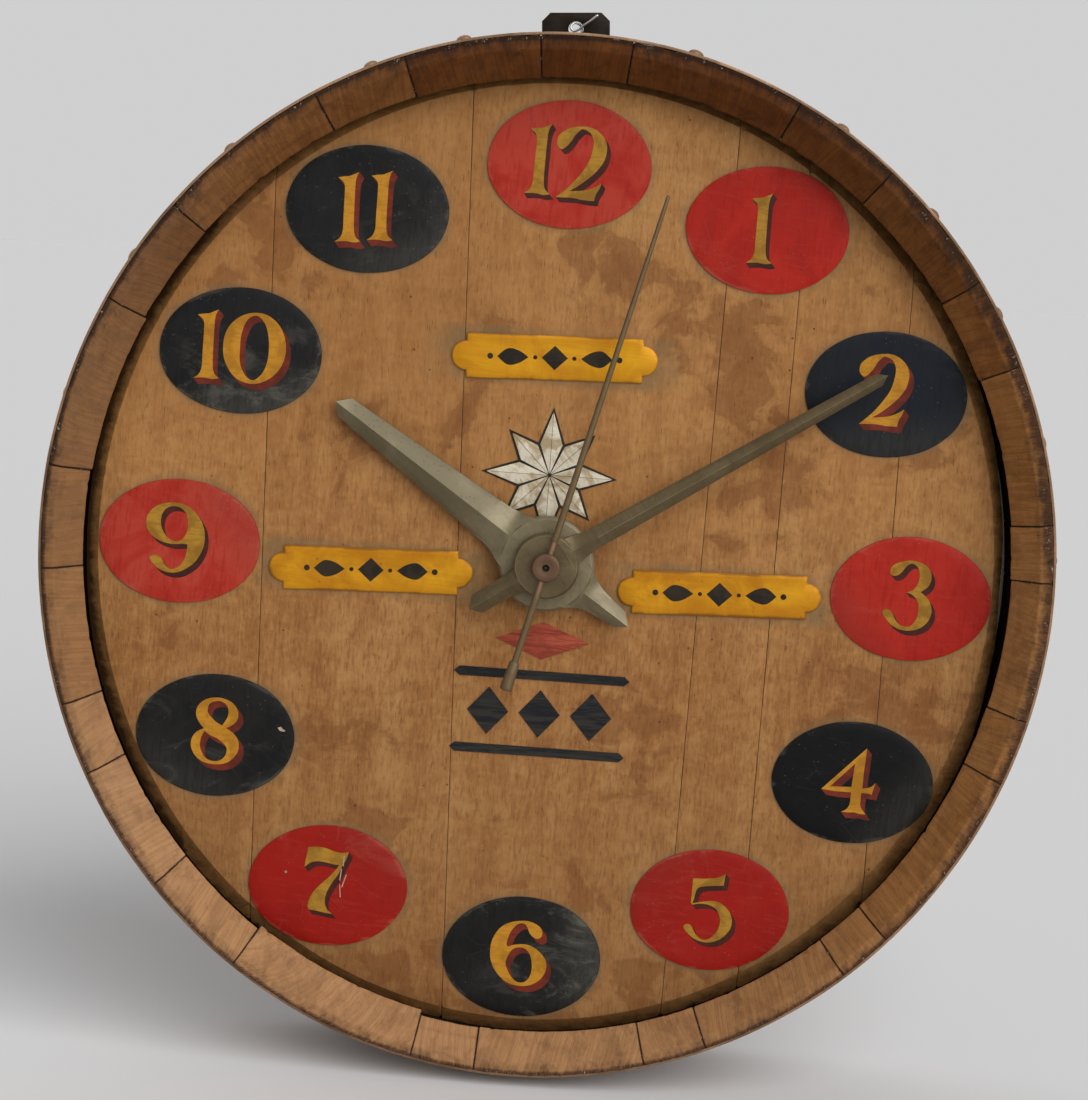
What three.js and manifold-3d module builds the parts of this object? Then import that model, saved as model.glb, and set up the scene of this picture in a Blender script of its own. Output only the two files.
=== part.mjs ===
// A wall clock made from the sawn-off end of an oak barrel.
// Millimetres, +Z up. The dial faces -Y and the wall is on the +Y side.
// The model is drawn round the hand arbor, with y = 0 at the front ends of the staves,
// and the finished group is moved so that its origin is the hanging point at the wall.

import * as THREE from 'three';
import { mergeVertices } from 'three/addons/utils/BufferGeometryUtils.js';
import { ConvexGeometry } from 'three/addons/geometries/ConvexGeometry.js';
import Module from 'manifold-3d';

const wasm = await Module();
wasm.setup();

// Clearances
const fitGap = 0.3;          // between pieces that touch or turn in each other
const overrun = 2;           // how far every cutting shape runs past what it cuts

// Barrel end. Round heights; the widths are drawn in by the shrinking of the head boards.
const chimeRadius = 297;     // half the height over the front ends of the staves
const widthShare = 0.966;    // width of the barrel end as a share of its height
const staveLength = 115;     // from the front ends to the saw cut at the wall
const rearFlare = 8;         // growth in radius from the front ends to the saw cut
const chimeFlat = 7.5;       // flat end grain at the outer edge
const chimeBevelWidth = 15.2;
const chimeBevelDepth = 13.2;
const ringSegments = 78;

// Width of each stave, clockwise from the top one as seen from the front
const staveWidthShares = [
  10.3, 19.7, 12.6, 15.4, 10.2, 17.9, 6.4, 15.6, 7.4, 21.9, 6.3, 18.0, 7.4,
  19.9, 7.5, 23.2, 12.8, 14.6, 8.2, 15.4, 11.5, 19.5, 12.5, 19.8, 10.7, 15.3,
];
const firstJointDegrees = -4.7;

// Head: six boards with a bevelled edge that sits in a groove in the staves
const headRecess = 30;       // from the front ends of the staves to the face of the head
const headThickness = 20;
const headBevelWidth = 15;
const headBevelDrop = 6;
const headEdgeThickness = 5;
const grooveDepth = 4.5;     // how far the head edge goes into the staves
// Each joint between boards, left to right: its place at the top and at the bottom
const boardJointShares = [
  [-0.643, -0.598], [-0.227, -0.162], [0.349, 0.324], [0.505, 0.488], [0.743, 0.751],
];

// Hoop nailed round the front ends
const hoopWidth = 38;
const hoopThickness = 1.6;
const hoopSetBack = 3;       // from the front ends of the staves to the hoop
const nailHeadRadius = 4.5;
const nailHeadHeight = 2.4;
const nailEdgeShare = 0.25;  // height of the head's edge, as a share of the head's height
const nailShoulderShares = [0.6, 0.85];  // radius and height where the dome turns in
// Places of the nails as parts of a turn, clockwise from the top
const nailTurnShares = [
  0.035, 0.086, 0.124, 0.16, 0.202, 0.238, 0.271, 0.31, 0.35, 0.39, 0.43, 0.47,
  0.51, 0.55, 0.59, 0.63, 0.67, 0.711, 0.752, 0.792, 0.839, 0.883, 0.933, 0.963,
];

// Ovals that carry the hour numerals. Shares here and below are of the dial's half height.
const ovalWidthShare = 0.339;
const ovalHeightShare = 0.2625;
const ovalThickness = 1.2;
const ovalRimGap = 7;        // from the outermost ovals to the inner edge of the staves
// Place of each oval across and up, for one o'clock to twelve o'clock
const ovalPlaceShares = [
  [0.53, 0.857], [0.885, 0.476], [1.0, -0.029], [0.884, -0.505], [0.52, -0.859],
  [0.008, -1.015], [-0.541, -0.866], [-0.878, -0.5], [-1.004, -0.014],
  [-0.867, 0.471], [-0.547, 0.84], [-0.014, 0.982],
];
const redHours = [1, 3, 5, 7, 9, 12];

// Brass plaques with stepped round ends
const plaqueBodyShare = 0.368;
const plaqueHeightShare = 0.093;
const plaqueEndShare = 0.031;
const plaqueThickness = 1.2;
const topPlaqueUpShare = 0.428;
const sidePlaqueDropShare = 0.044;
const plaqueOvalGap = 5;     // from the side plaques to the ovals at three and nine o'clock
const plaqueShift = 3.5;     // the top plaque sits a little left of the middle
const plaqueTiltDegrees = 2;

// Hanger plate on the saw cut of the top stave
const hangerWidth = 40.5;
const hangerThickness = 3;
const hangerCornerCut = 5;
const hangerHoleRadius = 4.5;
const hangerHoleToTop = 9.5;
const hangerHoleShift = 5.3; // the hole sits left of the middle
const hangerHoleClearance = 4.8;  // from the hole's middle to the outside of the staves
const hangerLap = 25;        // how far the plate reaches down over the stave ends
const hangerTiltDegrees = 4;

// Hands. Reaches and tails are from the arbor to their ends, depths are from the front ends
// of the staves.
const handDegrees = { hour: 303.8, minute: 56.6, second: 14.1 };
const hourHand = {
  reachShare: 0.554, tailShare: 0.217, hubRadius: 27.4, frontDepth: 16, backDepth: 24,
  armHubWidth: 29.2, armTipWidth: 13.2, tailHubWidth: 22.4, tailTipWidth: 11.2,
  ridgeDrop: 0.8, tipRidgeDrop: 2.4, edgeThickness: 1.6, mitreLength: 6.2, chamferWidth: 1.6,
};
const minuteHand = {
  reachShare: 0.806, tailShare: 0.184, hubRadius: 18.8, frontDepth: 6, backDepth: 13,
  armHubWidth: 13.2, armTipWidth: 7.6, tailHubWidth: 12.2, tailTipWidth: 12,
  ridgeDrop: 0.8, tipRidgeDrop: 2.4, edgeThickness: 1.4, mitreLength: 5, chamferWidth: 1.2,
};
const secondHand = {
  reachShare: 0.802, tailShare: 0.27, hubRadius: 8.1, frontDepth: -2, backDepth: 3,
  stubRadius: 1.4, stubLength: 16, sleeveRadius: 2, tipRadius: 1.1,
  weightLength: 17, weightNeckRadius: 3, weightRadius: 3.7,
};

// Arbors and pipes that carry the hands
const secondArborRadius = 1;
const minuteTubeRadius = 2.5;
const hourPipeRadius = 4;
const bushingRadius = 6;
const pipeSetBack = 0.9;     // from a hub's front face to the end of its pipe
const nutThickness = 3.6;
const nutAcrossFlats = 18;
const bushingPastNut = 0.8;

// Gear train: leaves and teeth, and the size of a tooth
const motionModule = 1.25;
const trainModule = 0.7;
const secondPinionLeaves = 8;
const thirdWheelTeeth = 60;
const thirdPinionLeaves = 8;
const centreWheelTeeth = 64;
const cannonPinionLeaves = 10;
const motionWheelTeeth = 30;
const motionPinionLeaves = 8;
const hourWheelTeeth = 32;
const addendumShare = 0.8;
const dedendumShare = 1.15;
const toothRootShare = 0.5;
const toothTipShare = 0.17;
const wheelThickness = 2.2;
const pinionThickness = 3.4;
const layerGap = 1.5;        // between wheels that pass each other
const trainArborRadius = 1.2;
const motionArborRadius = 1.5;

// Movement case, its lid and the motor
const caseWall = 1.6;
const caseFrontWall = 2.4;
const caseCornerRadius = 12;
const wheelToCase = 1.6;     // from the largest wheels to the walls
const lidThickness = 2.4;
const pivotDepth = 1.4;      // blind holes for the arbor ends
const knobRadius = 7;
const knobLength = 9;
const knobGap = 1.6;
const motorRadius = 22;
const motorLength = 20;
const motorDrop = 20;        // the can sits below the hand arbor
const terminalWidth = 26;
const terminalHeight = 9;
const terminalDepth = 11;
const terminalInset = 1;

// Sides of the polygons that stand for round shapes
const roundSides = 24;
const smallSides = 12;
const ovalArcSides = 28;     // for half an oval

// Materials
const paints = {
  oak: { color: 0xa8794a, roughness: 0.75, metalness: 0 },
  headOak: { color: 0xb07f4e, roughness: 0.65, metalness: 0 },
  copper: { color: 0x9a6a4c, roughness: 0.5, metalness: 0.8 },
  steel: { color: 0x4a3c34, roughness: 0.55, metalness: 0.8 },
  redPaint: { color: 0xb5302c, roughness: 0.5, metalness: 0 },
  navyPaint: { color: 0x1b2029, roughness: 0.5, metalness: 0 },
  brass: { color: 0xd9a032, roughness: 0.4, metalness: 0.7 },
  handMetal: { color: 0x77725a, roughness: 0.55, metalness: 0.6 },
  secondMetal: { color: 0x86634a, roughness: 0.45, metalness: 0.7 },
  gearBrass: { color: 0xb8924a, roughness: 0.35, metalness: 0.9 },
  blackCan: { color: 0x2c2c2e, roughness: 0.5, metalness: 0.4 },
};
const materials = {};
for (const [name, look] of Object.entries(paints)) {
  materials[name] = new THREE.MeshStandardMaterial(look);
}

// Closed mesh of a three.js geometry as a solid that can be joined and cut
function solidOf(geometry) {
  const plain = geometry.clone();
  plain.deleteAttribute('normal');
  plain.deleteAttribute('uv');
  const merged = mergeVertices(plain);
  const corners = [];
  const index = merged.index.array;
  for (let i = 0; i < index.length; i += 3) {
    const [a, b, c] = index.subarray(i, i + 3);
    if (a !== b && b !== c && c !== a) corners.push(a, b, c);
  }
  return new wasm.Manifold(new wasm.Mesh({
    numProp: 3,
    vertProperties: merged.attributes.position.array,
    triVerts: Uint32Array.from(corners),
  }));
}

// Mesh of a solid, under the name of its piece
function pieceOf(name, solid, paint) {
  const { vertProperties, triVerts } = solid.getMesh();
  const geometry = new THREE.BufferGeometry();
  geometry.setAttribute('position', new THREE.BufferAttribute(vertProperties, 3));
  geometry.setIndex(new THREE.BufferAttribute(triVerts, 1));
  geometry.computeVertexNormals();
  const mesh = new THREE.Mesh(geometry, materials[paint]);
  mesh.name = name;
  return mesh;
}

const radians = THREE.MathUtils.degToRad;

// Point on a ring round the arbor; the angle runs clockwise from the top
function ringPoint(radius, angle, share = 1) {
  return new THREE.Vector2(share * radius * Math.sin(angle), radius * Math.cos(angle));
}

// Solid turned round the Y axis from [radius, y] pairs that go round the section
function turned(section, segments, share = 1) {
  const points = section.map(([radius, y]) => new THREE.Vector2(radius, y));
  points.push(points[0].clone());
  return solidOf(new THREE.LatheGeometry(points, segments).scale(share, 1, 1));
}

// Round bar along Y
function bar(radius, front, back, sides = roundSides) {
  const geometry = new THREE.CylinderGeometry(radius, radius, back - front, sides);
  return solidOf(geometry.translate(0, (front + back) / 2, 0));
}

// Flat piece cut to a shape drawn in X and Z, from its front face to its back face
function plate(shape, front, back, curveSegments = smallSides) {
  const options = { depth: back - front, bevelEnabled: false, curveSegments };
  const geometry = new THREE.ExtrudeGeometry(shape, options);
  return solidOf(geometry.rotateX(Math.PI / 2).translate(0, back, 0));
}

function rectangle(left, right, bottom, top) {
  return new THREE.Shape([
    new THREE.Vector2(left, bottom), new THREE.Vector2(right, bottom),
    new THREE.Vector2(right, top), new THREE.Vector2(left, top),
  ]);
}

function roundedRectangle(left, right, bottom, top, radius) {
  const shape = new THREE.Shape();
  shape.absarc(right - radius, bottom + radius, radius, -Math.PI / 2, 0);
  shape.absarc(right - radius, top - radius, radius, 0, Math.PI / 2);
  shape.absarc(left + radius, top - radius, radius, Math.PI / 2, Math.PI);
  shape.absarc(left + radius, bottom + radius, radius, Math.PI, 3 * Math.PI / 2);
  shape.closePath();
  return shape;
}

// Barrel shape shared by the staves, the head and the hoop
const chimeInnerRadius = chimeRadius - chimeFlat - chimeBevelWidth;
const headBack = headRecess + headThickness;
const headEdgeFront = headRecess + headBevelDrop;
const headEdgeBack = headEdgeFront + headEdgeThickness;

function outerRadiusAt(y) {
  return chimeRadius + rearFlare * y / staveLength;
}

function innerRadiusAt(y) {
  const share = (y - chimeBevelDepth) / (staveLength - chimeBevelDepth);
  return chimeInnerRadius + rearFlare * share;
}

const headRadius = innerRadiusAt(headEdgeBack) + grooveDepth;

// Depths of the head's front and rear bevels at a radius
function frontBevelAt(radius) {
  return headEdgeFront - headBevelDrop * (headRadius - radius) / headBevelWidth;
}

function rearBevelAt(radius) {
  return headEdgeBack + (headBack - headEdgeBack) * (headRadius - radius) / headBevelWidth;
}

function makeStaves() {
  const grooveRadius = headRadius + fitGap;
  const mouthFront = frontBevelAt(innerRadiusAt(headRecess)) - fitGap;
  const mouthBack = rearBevelAt(innerRadiusAt(headRecess)) + fitGap;
  const ring = turned([
    [chimeRadius - chimeFlat, 0],
    [chimeRadius, 0],
    [outerRadiusAt(staveLength), staveLength],
    [innerRadiusAt(staveLength), staveLength],
    [innerRadiusAt(mouthBack), mouthBack],
    [grooveRadius, headEdgeBack + fitGap],
    [grooveRadius, headEdgeFront - fitGap],
    [innerRadiusAt(mouthFront), mouthFront],
    [chimeInnerRadius, chimeBevelDepth],
  ], ringSegments, widthShare);

  const reach = 2 * chimeRadius;
  const halfGap = fitGap / 2 / chimeRadius;
  const turn = staveWidthShares.reduce((sum, width) => sum + width, 0);
  const staves = [];
  let from = radians(firstJointDegrees);
  staveWidthShares.forEach((width, i) => {
    const to = from + 2 * Math.PI * width / turn;
    const wedge = new THREE.Shape([
      new THREE.Vector2(0, 0),
      ringPoint(reach, to - halfGap, widthShare),
      ringPoint(reach, from + halfGap, widthShare),
    ]);
    const stave = ring.intersect(plate(wedge, -overrun, staveLength + overrun));
    const number = String(i + 1).padStart(2, '0');
    staves.push(pieceOf(`stave_${number}`, stave, 'oak'));
    from = to;
  });
  return staves;
}

function makeHeadBoards() {
  const disc = turned([
    [0, headRecess],
    [headRadius - headBevelWidth, headRecess],
    [headRadius, headEdgeFront],
    [headRadius, headEdgeBack],
    [headRadius - headBevelWidth, headBack],
    [0, headBack],
  ], ringSegments, widthShare);
  const hole = bar(bushingRadius + fitGap, headRecess - overrun, headBack + overrun);
  const bored = disc.subtract(hole);

  const halfWidth = widthShare * headRadius;
  const top = headRadius + overrun;
  const edges = [[-1, -1], ...boardJointShares, [1, 1]].map(([topShare, bottomShare]) => ({
    top: topShare * halfWidth,
    bottom: bottomShare * halfWidth,
  }));
  edges[0].top -= overrun;
  edges[0].bottom -= overrun;
  edges[edges.length - 1].top += overrun;
  edges[edges.length - 1].bottom += overrun;

  const boards = [];
  for (let i = 0; i + 1 < edges.length; i += 1) {
    const left = edges[i];
    const right = edges[i + 1];
    const outline = new THREE.Shape([
      new THREE.Vector2(left.bottom + fitGap / 2, -top),
      new THREE.Vector2(right.bottom - fitGap / 2, -top),
      new THREE.Vector2(right.top - fitGap / 2, top),
      new THREE.Vector2(left.top + fitGap / 2, top),
    ]);
    const board = bored.intersect(plate(outline, headRecess - overrun, headBack + overrun));
    boards.push(pieceOf(`head_board_${i + 1}`, board, 'headOak'));
  }
  return boards;
}

function makeHoop() {
  const front = hoopSetBack;
  const back = hoopSetBack + hoopWidth;
  const middle = (front + back) / 2;
  const inside = (y) => outerRadiusAt(y) + fitGap;
  const outside = (y) => inside(y) + hoopThickness;
  let hoop = turned([
    [inside(front), front],
    [outside(front), front],
    [outside(back), back],
    [inside(back), back],
  ], ringSegments, widthShare);

  // A low dome whose foot is sunk into the band
  const [shoulder, crown] = nailShoulderShares;
  const dome = new THREE.LatheGeometry([
    new THREE.Vector2(0, -hoopThickness / 2),
    new THREE.Vector2(nailHeadRadius, -hoopThickness / 2),
    new THREE.Vector2(nailHeadRadius, nailEdgeShare * nailHeadHeight),
    new THREE.Vector2(shoulder * nailHeadRadius, crown * nailHeadHeight),
    new THREE.Vector2(0, nailHeadHeight),
  ], smallSides - 4);
  for (const share of nailTurnShares) {
    const angle = 2 * Math.PI * share;
    const foot = ringPoint(outside(middle), angle, widthShare);
    const outward = new THREE.Vector3(Math.sin(angle) / widthShare, 0, Math.cos(angle)).normalize();
    const turn = new THREE.Quaternion().setFromUnitVectors(new THREE.Vector3(0, 1, 0), outward);
    const nail = dome.clone().applyQuaternion(turn).translate(foot.x, middle, foot.y);
    hoop = hoop.add(solidOf(nail));
  }
  return pieceOf('nailed_hoop', hoop, 'copper');
}

// Layout of the dial, from what shows of the head inside the staves
const dialHalfHeight = chimeInnerRadius;
const dialHalfWidth = widthShare * chimeInnerRadius;
const ovalHalfWidth = ovalWidthShare * dialHalfHeight / 2;
const ovalHalfHeight = ovalHeightShare * dialHalfHeight / 2;
const ovalRingHalfWidth = dialHalfWidth - ovalHalfWidth - ovalRimGap;
const ovalRingHalfHeight = dialHalfHeight - ovalHalfHeight - ovalRimGap;
const plaqueHalfBody = plaqueBodyShare * dialHalfHeight / 2;
const plaqueEndRadius = plaqueEndShare * dialHalfHeight;
const topPlaqueUp = topPlaqueUpShare * dialHalfHeight;
const sidePlaqueDrop = sidePlaqueDropShare * dialHalfHeight;
const sidePlaqueAcross = ovalRingHalfWidth - ovalHalfWidth - plaqueOvalGap
  - plaqueEndRadius - plaqueHalfBody;

function makeOvals() {
  const shape = new THREE.Shape();
  shape.absellipse(0, 0, ovalHalfWidth, ovalHalfHeight, 0, 2 * Math.PI);
  return ovalPlaceShares.map(([across, up], i) => {
    const hour = i + 1;
    const oval = plate(shape, headRecess - ovalThickness, headRecess, ovalArcSides);
    const paint = redHours.includes(hour) ? 'redPaint' : 'navyPaint';
    const piece = pieceOf(`hour_oval_${String(hour).padStart(2, '0')}`, oval, paint);
    piece.position.set(across * ovalRingHalfWidth, 0, up * ovalRingHalfHeight);
    return piece;
  });
}

function makePlaque(name, x, z) {
  const halfBody = plaqueHalfBody;
  const halfHeight = plaqueHeightShare * dialHalfHeight / 2;
  const shape = new THREE.Shape();
  shape.moveTo(-halfBody, -halfHeight);
  shape.lineTo(halfBody, -halfHeight);
  shape.absarc(halfBody, 0, plaqueEndRadius, -Math.PI / 2, Math.PI / 2);
  shape.lineTo(halfBody, halfHeight);
  shape.lineTo(-halfBody, halfHeight);
  shape.absarc(-halfBody, 0, plaqueEndRadius, Math.PI / 2, 3 * Math.PI / 2);
  shape.closePath();
  const solid = plate(shape, headRecess - plaqueThickness, headRecess, smallSides);
  const piece = pieceOf(name, solid, 'brass');
  piece.position.set(x, 0, z);
  piece.rotation.y = -radians(plaqueTiltDegrees);
  return piece;
}

// Hanger. Its hole lies just outside the staves, in the middle of the plate's width.
const hangerHoleUp = outerRadiusAt(staveLength) + hangerHoleClearance;
const hangerBack = staveLength + hangerThickness;

function makeHanger() {
  const half = hangerWidth / 2;
  const top = hangerHoleToTop;
  const bottom = -(hangerHoleClearance + hangerLap);
  const shape = new THREE.Shape([
    new THREE.Vector2(-half, bottom),
    new THREE.Vector2(half, bottom),
    new THREE.Vector2(half, top - hangerCornerCut),
    new THREE.Vector2(half - hangerCornerCut, top),
    new THREE.Vector2(hangerCornerCut - half, top),
    new THREE.Vector2(-half, top - hangerCornerCut),
  ]);
  const hole = new THREE.Path();
  hole.absarc(0, 0, hangerHoleRadius, 0, 2 * Math.PI);
  shape.holes.push(hole);
  const piece = pieceOf('hanger_plate', plate(shape, staveLength, hangerBack), 'steel');
  piece.position.set(-hangerHoleShift, 0, hangerHoleUp);
  piece.rotation.y = -radians(hangerTiltDegrees);
  return piece;
}

// One arm of a hand, along +Z: a flat back, thin edges, a raised middle ridge
// and a tip cut back from the ridge on both sides
function handArm(hand, reach, hubWidth, tipWidth) {
  const { frontDepth: front, backDepth: back, ridgeDrop, tipRidgeDrop, edgeThickness } = hand;
  const points = [];
  for (const side of [-0.5, 0.5]) {
    points.push(new THREE.Vector3(side * hubWidth, back, 0));
    points.push(new THREE.Vector3(side * hubWidth, back - edgeThickness, 0));
    points.push(new THREE.Vector3(side * tipWidth, back, reach - hand.mitreLength));
    points.push(new THREE.Vector3(side * tipWidth, back - edgeThickness, reach - hand.mitreLength));
  }
  points.push(new THREE.Vector3(0, front + ridgeDrop, 0));
  points.push(new THREE.Vector3(0, front + tipRidgeDrop, reach));
  points.push(new THREE.Vector3(0, back, reach));
  return new ConvexGeometry(points);
}

function chamferedDisc(hand) {
  return turned([
    [0, hand.frontDepth],
    [hand.hubRadius - hand.chamferWidth, hand.frontDepth],
    [hand.hubRadius, hand.frontDepth + hand.chamferWidth],
    [hand.hubRadius, hand.backDepth],
    [0, hand.backDepth],
  ], roundSides + smallSides);
}

function makeRidgedHand(name, hand, degrees, pipeRadius) {
  const reach = hand.reachShare * dialHalfHeight;
  const tailReach = hand.tailShare * dialHalfHeight;
  const arm = solidOf(handArm(hand, reach, hand.armHubWidth, hand.armTipWidth));
  const tailGeometry = handArm(hand, tailReach, hand.tailHubWidth, hand.tailTipWidth);
  const tail = solidOf(tailGeometry.rotateY(Math.PI));
  const bore = bar(pipeRadius + fitGap, hand.frontDepth - overrun, hand.backDepth + overrun);
  const solid = chamferedDisc(hand).add(arm).add(tail).subtract(bore);
  const piece = pieceOf(name, solid, 'handMetal');
  piece.rotation.y = radians(degrees);
  return piece;
}

// Round rod along +Z, from [distance, radius] pairs
function taperedRod(stations, y) {
  const points = stations.map(([distance, radius]) => new THREE.Vector2(radius, distance));
  points.unshift(new THREE.Vector2(0, stations[0][0]));
  points.push(new THREE.Vector2(0, stations[stations.length - 1][0]));
  const rod = new THREE.LatheGeometry(points, smallSides - 2);
  return rod.rotateX(Math.PI / 2).translate(0, y, 0);
}

function makeSecondHand() {
  const hand = secondHand;
  const middle = (hand.frontDepth + hand.backDepth) / 2;
  const tailReach = hand.tailShare * dialHalfHeight;
  const weightStart = tailReach - hand.weightLength;
  const hub = bar(hand.hubRadius, hand.frontDepth, hand.backDepth, roundSides);
  const arm = solidOf(taperedRod([
    [0, hand.stubRadius],
    [hand.stubLength, hand.stubRadius],
    [hand.stubLength, hand.sleeveRadius],
    [hand.reachShare * dialHalfHeight, hand.tipRadius],
  ], middle));
  const tail = solidOf(taperedRod([
    [0, hand.stubRadius],
    [hand.stubLength, hand.stubRadius],
    [hand.stubLength, hand.sleeveRadius],
    [weightStart, hand.sleeveRadius],
    [weightStart, hand.weightNeckRadius],
    [tailReach, hand.weightRadius],
  ], middle).rotateY(Math.PI));
  const bore = bar(secondArborRadius + fitGap, hand.frontDepth - overrun, hand.backDepth + overrun);
  const piece = pieceOf('second_hand', hub.add(arm).add(tail).subtract(bore), 'secondMetal');
  piece.rotation.y = radians(handDegrees.second);
  return piece;
}

// Places of the arbors and of the layers of the gear train
const motionArborUp = motionModule * (motionPinionLeaves + hourWheelTeeth) / 2;
const thirdArborDrop = trainModule * (thirdPinionLeaves + centreWheelTeeth) / 2;
const thirdModule = 2 * thirdArborDrop / (secondPinionLeaves + thirdWheelTeeth);
const caseInside = headBack + caseFrontWall;
const pinionLead = (pinionThickness - wheelThickness) / 2;
const hourWheelFront = caseInside + layerGap;
const motionWheelFront = hourWheelFront + wheelThickness + layerGap + pinionLead;
const centreWheelFront = motionWheelFront + wheelThickness + layerGap + pinionLead;
const thirdWheelFront = centreWheelFront + wheelThickness + layerGap + pinionLead;
const lidFront = thirdWheelFront + wheelThickness + layerGap + pinionLead;
const lidBack = lidFront + lidThickness;

// Toothed disc. Its first tooth, or its first gap, points along the given angle.
function gear(teeth, toothSize, front, thickness, angle, gapFirst = false) {
  const root = toothSize * (teeth / 2 - dedendumShare);
  const tip = toothSize * (teeth / 2 + addendumShare);
  const pitch = 2 * Math.PI / teeth;
  const start = angle + (gapFirst ? pitch / 2 : 0);
  const points = [];
  for (let i = 0; i < teeth; i += 1) {
    const middle = start - i * pitch;
    points.push(ringPoint(root, middle + pitch * toothRootShare / 2));
    points.push(ringPoint(tip, middle + pitch * toothTipShare / 2));
    points.push(ringPoint(tip, middle - pitch * toothTipShare / 2));
    points.push(ringPoint(root, middle - pitch * toothRootShare / 2));
  }
  return plate(new THREE.Shape(points), front, front + thickness);
}

function wheel(teeth, toothSize, front, angle, gapFirst) {
  return gear(teeth, toothSize, front, wheelThickness, angle, gapFirst);
}

function pinion(leaves, toothSize, wheelFront, angle, gapFirst) {
  return gear(leaves, toothSize, wheelFront - pinionLead, pinionThickness, angle, gapFirst);
}

const up = 0;
const down = Math.PI;

function makeSecondArbor() {
  const front = secondHand.frontDepth + pipeSetBack;
  const arbor = bar(secondArborRadius, front, lidFront + pivotDepth - fitGap, smallSides);
  const leaves = pinion(secondPinionLeaves, thirdModule, thirdWheelFront, down, false);
  return pieceOf('second_arbor', arbor.add(leaves), 'steel');
}

function makeThirdWheel() {
  const front = caseInside - pivotDepth + fitGap;
  const arbor = bar(trainArborRadius, front, lidFront + pivotDepth - fitGap, smallSides);
  const teeth = wheel(thirdWheelTeeth, thirdModule, thirdWheelFront, up, true);
  const leaves = pinion(thirdPinionLeaves, trainModule, centreWheelFront, up, false);
  const piece = pieceOf('third_wheel', arbor.add(teeth).add(leaves), 'gearBrass');
  piece.position.z = -thirdArborDrop;
  return piece;
}

function makeCentreWheel() {
  const front = minuteHand.frontDepth + pipeSetBack;
  const back = centreWheelFront + wheelThickness;
  const tube = bar(minuteTubeRadius, front, back, smallSides + 4);
  const teeth = wheel(centreWheelTeeth, trainModule, centreWheelFront, down, true);
  const leaves = pinion(cannonPinionLeaves, motionModule, motionWheelFront, up, false);
  const bore = bar(secondArborRadius + fitGap, front - overrun, back + overrun, smallSides);
  return pieceOf('centre_wheel', tube.add(teeth).add(leaves).subtract(bore), 'gearBrass');
}

function makeMotionWheel() {
  const front = caseInside - pivotDepth + fitGap;
  const knobFront = lidBack + knobGap;
  const arbor = bar(motionArborRadius, front, knobFront + knobLength / 2, smallSides);
  const teeth = wheel(motionWheelTeeth, motionModule, motionWheelFront, down, true);
  const leaves = pinion(motionPinionLeaves, motionModule, hourWheelFront, down, false);
  const knob = bar(knobRadius, knobFront, knobFront + knobLength, smallSides);
  const piece = pieceOf('motion_wheel', arbor.add(teeth).add(leaves).add(knob), 'gearBrass');
  piece.position.z = motionArborUp;
  return piece;
}

function makeHourWheel() {
  const front = hourHand.frontDepth + pipeSetBack;
  const back = hourWheelFront + wheelThickness;
  const pipe = bar(hourPipeRadius, front, back, smallSides + 4);
  const teeth = wheel(hourWheelTeeth, motionModule, hourWheelFront, up, true);
  const bore = bar(minuteTubeRadius + fitGap, front - overrun, back + overrun, smallSides + 4);
  return pieceOf('hour_wheel', pipe.add(teeth).subtract(bore), 'gearBrass');
}

// Outside and inside outlines of the movement case, from the wheels that it holds
function caseOutline(inset) {
  const tallWheel = motionModule * (motionWheelTeeth / 2 + addendumShare);
  const lowWheel = thirdModule * (thirdWheelTeeth / 2 + addendumShare);
  const wideWheel = trainModule * (centreWheelTeeth / 2 + addendumShare);
  const margin = wheelToCase + caseWall - inset;
  return roundedRectangle(
    -wideWheel - margin,
    wideWheel + margin,
    -thirdArborDrop - lowWheel - margin,
    motionArborUp + tallWheel + margin,
    caseCornerRadius - inset,
  );
}

const nutFront = headRecess - nutThickness;

function makeMovementCase() {
  const hollow = plate(caseOutline(caseWall), caseInside, lidFront + overrun);
  const bushing = bar(bushingRadius, nutFront - bushingPastNut, caseInside);
  const bore = bar(hourPipeRadius + fitGap, nutFront - overrun, caseInside + overrun);
  const thirdPivot = bar(trainArborRadius + fitGap, caseInside - pivotDepth, lidFront, smallSides)
    .translate(0, 0, -thirdArborDrop);
  const motionPivot = bar(motionArborRadius + fitGap, caseInside - pivotDepth, lidFront, smallSides)
    .translate(0, 0, motionArborUp);
  const solid = plate(caseOutline(0), headBack, lidFront)
    .subtract(hollow)
    .add(bushing)
    .subtract(bore)
    .subtract(thirdPivot)
    .subtract(motionPivot);
  return pieceOf('movement_case', solid, 'gearBrass');
}

function makeMotorUnit() {
  const lid = plate(caseOutline(0), lidFront, lidBack);
  const can = bar(motorRadius, lidBack, lidBack + motorLength, roundSides)
    .translate(0, 0, -motorDrop);
  const terminalTop = -motorDrop - motorRadius + terminalInset;
  const terminal = plate(
    rectangle(-terminalWidth / 2, terminalWidth / 2, terminalTop - terminalHeight, terminalTop),
    lidBack,
    lidBack + terminalDepth,
  );
  const secondPivot = bar(secondArborRadius + fitGap, lidFront - overrun,
    lidFront + pivotDepth, smallSides);
  const thirdPivot = bar(trainArborRadius + fitGap, lidFront - overrun,
    lidFront + pivotDepth, smallSides).translate(0, 0, -thirdArborDrop);
  const motionHole = bar(motionArborRadius + fitGap, lidFront - overrun,
    lidBack + overrun, smallSides).translate(0, 0, motionArborUp);
  const solid = lid
    .add(can)
    .add(terminal)
    .subtract(secondPivot)
    .subtract(thirdPivot)
    .subtract(motionHole);
  return pieceOf('motor_unit', solid, 'blackCan');
}

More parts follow.
